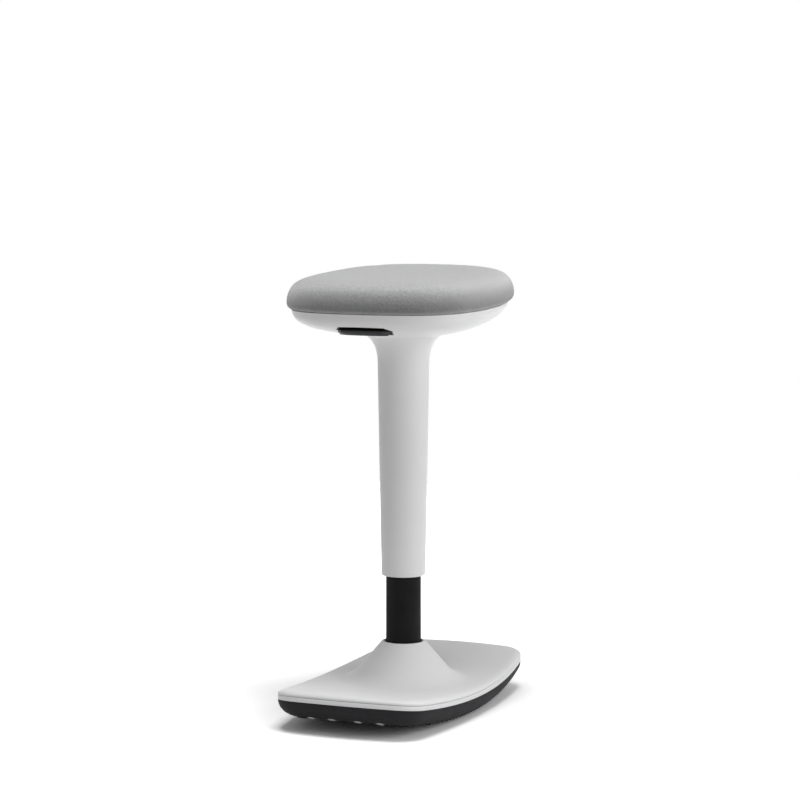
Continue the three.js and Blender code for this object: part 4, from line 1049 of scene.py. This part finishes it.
def shell_rings():
    rings = []
    for angle in np.linspace(0, math.pi / 2, FOOT_STEPS):
        rings.append(level_ring(
            SLEEVE_FOOT_RADIUS - SLEEVE_ROUND * (1 - math.sin(angle)),
            SLEEVE_FOOT + SLEEVE_ROUND * (1 - math.cos(angle)),
        ))
    for share in SLEEVE_SHARES:
        radius = SLEEVE_FOOT_RADIUS + (SLEEVE_HEAD_RADIUS - SLEEVE_FOOT_RADIUS) * share
        rings.append(level_ring(radius, SLEEVE_FOOT + (SLEEVE_HEAD - SLEEVE_FOOT) * share))
    rings += [neck_ring(share) for share in np.linspace(0, NECK_END * NECK_LAST, NECK_STEPS)]
    bowl = [bowl_ring(k) for k in range(len(BOWL_REACH) - 1, -1, -1)]
    rings += through([neck_ring(NECK_END * NECK_NEXT), neck_ring(NECK_END), *bowl], BOWL_STEPS)
    return rings


shell_outer = shell_rings()
shell_inner = offset_rings(shell_outer, SHELL_WALL)
shell_inner[-1] = on_seam(seat_outline(SHELL_WALL))
rim_low = on_seam(seat_outline(), -SHELL_SOFT)
rim_high = on_seam(seat_outline(SHELL_SOFT))
shell = ring_object("seat_skin", [
    level_ring(SLEEVE_FOOT_RADIUS - SLEEVE_LIP, SLEEVE_FOOT),
    *shell_outer[:-1], rim_low, rim_high, *shell_inner[FOOT_STEPS:][::-1],
], closed=True)


def filled_shell(name, wall):
    """The shell's outside as one closed body, moved in or out by a wall."""
    return ring_object(name, offset_rings(shell_outer, wall), caps=True)


def paddle_plan(inset):
    """Plan of the paddle: bowed front, cut corners, and sides that draw in to the rear."""
    front = inset - PADDLE_FRONT
    half = PADDLE_HALF - inset
    front_half = half - PADDLE_CORNER
    bow = [(front_half * t, front + PADDLE_BOW * t * t) for t in BOW_SHARES]
    side = [
        (half, PADDLE_BOW + PADDLE_CORNER - PADDLE_FRONT),
        (half - PADDLE_TAPER, PADDLE_DEPTH - PADDLE_FRONT - inset),
    ]
    right = np.array([*bow, *side])
    return np.vstack([[(0, front)], right, right[::-1] * (-1, 1)])


def paddle_prism(name, grown, low, high):
    """The paddle's plan, grown by a gap, as an upright body."""
    plan = paddle_plan(-grown)
    return ring_object(name, [at_height(plan, low), at_height(plan, high)], caps=True)


liner_grown = LINER_GAP + LINER_WALL
back = PADDLE_DEPTH - PADDLE_FRONT
window_back = back + liner_grown
window_foot = LINER_FOOT - CUT_OVER
cut(shell, paddle_prism("window", liner_grown + REST_GAP, window_foot, LINER_TOP + REST_GAP))
cut(shell, block(
    "arm_slot",
    (-ARM_SLOT_HALF, window_back, ARM_SLOT_FOOT),
    (ARM_SLOT_HALF, window_back + ARM_SLOT_RUN, LINER_TOP),
))
shade(shell)
place(shell, "seat", "white_plastic", "seat_shell")


# Lever: a frame in the shell's window and the paddle in it

hollow_top = LINER_TOP - LINER_WALL
liner = paddle_prism("lever_frame", liner_grown, LINER_FOOT, LINER_TOP)
cut(liner, filled_shell("shell_room", LINER_SINK), "INTERSECT")
cut(liner, paddle_prism("hollow", LINER_GAP, window_foot, hollow_top))
cut(liner, block(
    "slot",
    (-LINER_SLOT_HALF, window_back - CUT_OVER, window_foot),
    (LINER_SLOT_HALF, window_back + CUT_OVER, hollow_top),
))
weld(liner, LINER_WELD * MM)
shade(liner)
place(liner, "seat", "black_plastic", "lever_liner")


def side_profile(name, points, half_width):
    """A side view of [y, z] points, drawn out across X."""
    left, right = [[(side * half_width, y, z) for y, z in points] for side in (-1, 1)]
    return drawn_out(name, left, right)


blade = ring_object("blade", [
    at_height(paddle_plan(inset), height) for inset, height in (
        (PADDLE_CHAMFER, PADDLE_BASE), (0, PADDLE_BASE + PADDLE_CHAMFER),
        (0, PADDLE_TOP - PADDLE_CHAMFER / 2), (PADDLE_CHAMFER / 2, PADDLE_TOP),
    )
], caps=True)
for i in range(GRIP_GROOVES):
    y = -PADDLE_FRONT + GRIP_START + i * GRIP_PITCH
    cut(blade, side_profile("groove", [
        (y - GRIP_HALF, PADDLE_BASE - GRIP_OVER), (y + GRIP_HALF, PADDLE_BASE - GRIP_OVER),
        (y, PADDLE_BASE + GRIP_DEPTH),
    ], GRIP_REACH))
bevelled(blade, PADDLE_SOFT, 2, 20)
_, pivot_y, pivot_z = PIVOT
root = (PADDLE_TOP + PADDLE_BASE) / 2
half = ARM_THICK / 2
arm = side_profile("arm", [
    (back - ARM_ROOT, root - half), (back + ARM_ROOT, root - half), (pivot_y, pivot_z - HUB_RADIUS / 2),
    (pivot_y + HUB_RADIUS, ARM_FINGER), (ARM_END, ARM_FINGER), (ARM_END, ARM_FINGER + ARM_THICK),
    (pivot_y, pivot_z + HUB_RADIUS / 2), (back + ARM_ROOT, root + half), (back - ARM_ROOT, root + half),
], ARM_HALF)
bevelled(arm, ARM_SOFT, 2)
hub = lathe_object("hub", rounded([
    (HUB_BORE, -HUB_HALF), (HUB_RADIUS, -HUB_HALF), (HUB_RADIUS, HUB_HALF), (HUB_BORE, HUB_HALF),
], HUB_SOFT), sides=SMALL_SIDES)
moved(hub, Matrix.Translation(Vector(PIVOT) * MM) @ Matrix.Rotation(math.pi / 2, 4, "Y"))
lever = joined("lever_blade", [blade, arm, hub])
shade(lever)
place(lever, "lever", "black_plastic", "lever_paddle")


# Cushion

def edge_rise(share):
    """How far up the cushion's edge stands at a share of the way out."""
    full = max(0.0, 1 - share**EDGE_POWER) ** (1 / EDGE_ROOT)
    return TUCK_RISE + (1 - TUCK_RISE) * full


def cushion_ring(outline, rise):
    """A ring at a share of the way up from the seam to the crown."""
    x, y = outline.T
    foot = seam_sheet(x, y) + REST_GAP
    return at_height(outline, foot + (crown_sheet(y) - foot) * rise)


def cushion_rings(slack):
    """Rings of the cushion, drawn in by a slack all round."""
    rings = []
    foot = seat_outline(CUSHION_TUCK + slack * SLACK_FOOT)
    for share in FOOT_SHARES:
        rings.append(cushion_ring(shrunk(foot, share), 0))
    for share in np.linspace(0, 1, TUCK_STEPS):
        angle = share * math.pi / 2
        inset = CUSHION_TUCK - (CUSHION_TUCK + CUSHION_OVERHANG - slack) * math.sin(angle)
        rings.append(cushion_ring(seat_outline(inset), TUCK_RISE * (1 - math.cos(angle))))
    widest = seat_outline(slack - CUSHION_OVERHANG)
    for share in TOP_SHARES:
        top = cushion_ring(shrunk(widest, share), edge_rise(share))
        rings.append(top - (0, 0, slack * (1 - share * SLACK_LESS)))
    return rings


def swollen(base, full):
    """The cushion after a cloth simulation under pressure, held close to its full shape."""
    remesh = base.modifiers.new("remesh", "REMESH")
    remesh.mode = "VOXEL"
    remesh.voxel_size = VOXEL * MM
    applied(base)
    start = np.array([v.co for v in base.data.vertices])
    foot = (seam_sheet(start[:, 0] / MM, start[:, 1] / MM) + REST_GAP) * MM
    held = base.vertex_groups.new(name="held")
    for i, (z, low) in enumerate(zip(start[:, 2], foot)):
        weight = min(1.0, max(0.0, 1.0 - (z - low - HELD_LOW * MM) / (HELD_RUN * MM)))
        if weight > 0:
            held.add([i], weight, "REPLACE")
    cloth = base.modifiers.new("cloth", "CLOTH")
    settings = cloth.settings
    settings.quality = 6
    settings.mass = 0.3
    settings.tension_stiffness = 12
    settings.compression_stiffness = 12
    settings.shear_stiffness = 6
    settings.bending_stiffness = 0.6
    settings.use_pressure = True
    settings.uniform_pressure_force = 4
    settings.vertex_group_mass = "held"
    settings.effector_weights.gravity = 0
    cloth.collision_settings.use_collision = False
    scene = bpy.context.scene
    for step in range(1, CLOTH_FRAMES + 1):
        scene.frame_set(step)
    graph = bpy.context.evaluated_depsgraph_get()
    end = np.array([v.co for v in base.evaluated_get(graph).to_mesh().vertices])
    base.modifiers.clear()
    scene.frame_set(1)
    shift = end - start
    length = np.linalg.norm(shift, axis=1, keepdims=True)
    end = start + shift * np.minimum(1.0, SWELL_CAP * MM / np.maximum(length, 1e-9))
    tree = BVHTree.FromPolygons(
        [v.co for v in full.data.vertices], [tuple(face.vertices) for face in full.data.polygons]
    )
    for vertex, point in zip(base.data.vertices, end):
        nearest = tree.find_nearest(point)[0]
        vertex.co = nearest.lerp(Vector(point), PUFF_KEPT)
    base.data.update()
    bpy.data.objects.remove(full)
    return base


cushion = ring_object("cushion", cushion_rings(0), caps=True)
cushion = swollen(ring_object("cushion_fabric", cushion_rings(SLACK), caps=True), cushion)
smooth = cushion.modifiers.new("smooth", "SMOOTH")
smooth.iterations = 1
smooth.factor = 0.5
applied(cushion)
fine = cushion.modifiers.new("fine", "SUBSURF")
fine.levels = fine.render_levels = 1
applied(cushion)
shade(cushion, CUSHION_SMOOTH_ANGLE)
place(cushion, "seat", "seat_fabric", "seat_cushion")


# Stage, lights and camera

def plane(name, size, height):
    half = size / 2
    points = [(-half, -half, height), (half, -half, height), (half, half, height), (-half, half, height)]
    return new_object(name, points, [(0, 1, 2, 3)])


def seen_or(tree, unseen, seen):
    """One grey for the light on the object and another for what is seen or mirrored."""
    path = node(tree, "ShaderNodeLightPath")
    direct = math_node(tree, "MAXIMUM", path.outputs["Is Camera Ray"], path.outputs["Is Transmission Ray"])
    direct = math_node(tree, "MAXIMUM", direct, path.outputs["Is Glossy Ray"])
    return mixed(tree, direct, unseen, seen)


# The floor as it is seen grows paler from under the stool out to the backdrop
FLOOR_GREY = (0.88, 0.88, 0.88)
FLOOR_UNDER = 1.58
FLOOR_NEAR = 2.0
FLOOR_FAR = 5.4
NEAR_REACH = (0.18, 0.5)
FAR_REACH = (0.5, 1.6)
FLOOR_SIZE = 4600

floor_look = bpy.data.materials.new("floor_look")
floor_look.use_nodes = True
tree = floor_look.node_tree
tree.nodes.clear()
where = node(tree, "ShaderNodeTexCoord")
distance = node(tree, "ShaderNodeVectorMath", {"operation": "LENGTH"}, input_0=where.outputs["Object"])
near = node(
    tree, "ShaderNodeMapRange", Value=distance.outputs["Value"],
    From_Min=NEAR_REACH[0], From_Max=NEAR_REACH[1], To_Min=FLOOR_UNDER, To_Max=FLOOR_NEAR,
)
far = node(
    tree, "ShaderNodeMapRange", Value=distance.outputs["Value"],
    From_Min=FAR_REACH[0], From_Max=FAR_REACH[1], To_Min=0.0, To_Max=FLOOR_FAR - FLOOR_NEAR,
)
spread = math_node(tree, "ADD", near.outputs[0], far.outputs[0])
surface = node(tree, "ShaderNodeBsdfDiffuse", Color=seen_or(tree, FLOOR_GREY, spread))
output = node(tree, "ShaderNodeOutputMaterial", Surface=surface.outputs[0])
floor = plane("floor", FLOOR_SIZE, 0)
floor.data.materials.append(floor_look)

world = bpy.data.worlds.new("studio")
bpy.context.scene.world = world
world.use_nodes = True
tree = world.node_tree
tree.nodes.clear()
AMBIENT = (0.27, 0.27, 0.27)
WHITE = (1, 1, 1)
background = node(tree, "ShaderNodeBackground", Color=seen_or(tree, AMBIENT, WHITE), Strength=1.0)
output = node(tree, "ShaderNodeOutputWorld", Surface=background.outputs[0])


def soft_light(name, place_m, aim_m, size_m, watts):
    light = bpy.data.lights.new(name, "AREA")
    light.shape = "RECTANGLE"
    light.size, light.size_y = size_m
    light.energy = watts
    lamp = bpy.data.objects.new(name, light)
    bpy.context.collection.objects.link(lamp)
    lamp.location = place_m
    lamp.rotation_euler = (Vector(aim_m) - Vector(place_m)).to_track_quat("-Z", "Y").to_euler()
    return lamp


# Each light's place is to the right of the view, ahead along it, and up. Its size and watts follow
LIGHTS = (
    ("overhead", (0, -0.35, 2.1), (1.0, 1.0), 22),
    ("right_front", (2.2, -1.4, 1.3), (1.4, 1.8), 20),
    ("right_low", (2.2, 0, 0.6), (1.2, 1.0), 4.5),
)
LIGHT_AIM = Vector((0, 0, 0.4))
# The camera's place is the one fitted to the outline of the base in the photo
CAMERA_PLACE = Vector((1.5430, -3.6904, 0.845))
CAMERA_AIM = Vector((0, 0, 0.4422))
LENS = 127.72
FILM_WIDTH = 36
SHIFT_PIXELS = -3.5
PHOTO_WIDTH = 800
ahead = Vector((-CAMERA_PLACE.x, -CAMERA_PLACE.y, 0)).normalized()
right = Vector((ahead.y, -ahead.x, 0))
for name, (across, along, up), size_m, watts in LIGHTS:
    soft_light(name, right * across + ahead * along + Vector((0, 0, up)), LIGHT_AIM, size_m, watts)

camera_data = bpy.data.cameras.new("camera")
camera_data.lens = LENS
camera_data.sensor_width = FILM_WIDTH
camera_data.shift_x = SHIFT_PIXELS / PHOTO_WIDTH
camera = bpy.data.objects.new("camera", camera_data)
bpy.context.collection.objects.link(camera)
camera.location = CAMERA_PLACE
camera.rotation_euler = (CAMERA_AIM - CAMERA_PLACE).to_track_quat("-Z", "Y").to_euler()
bpy.context.scene.camera = camera
bpy.context.scene.view_settings.view_transform = "Standard"
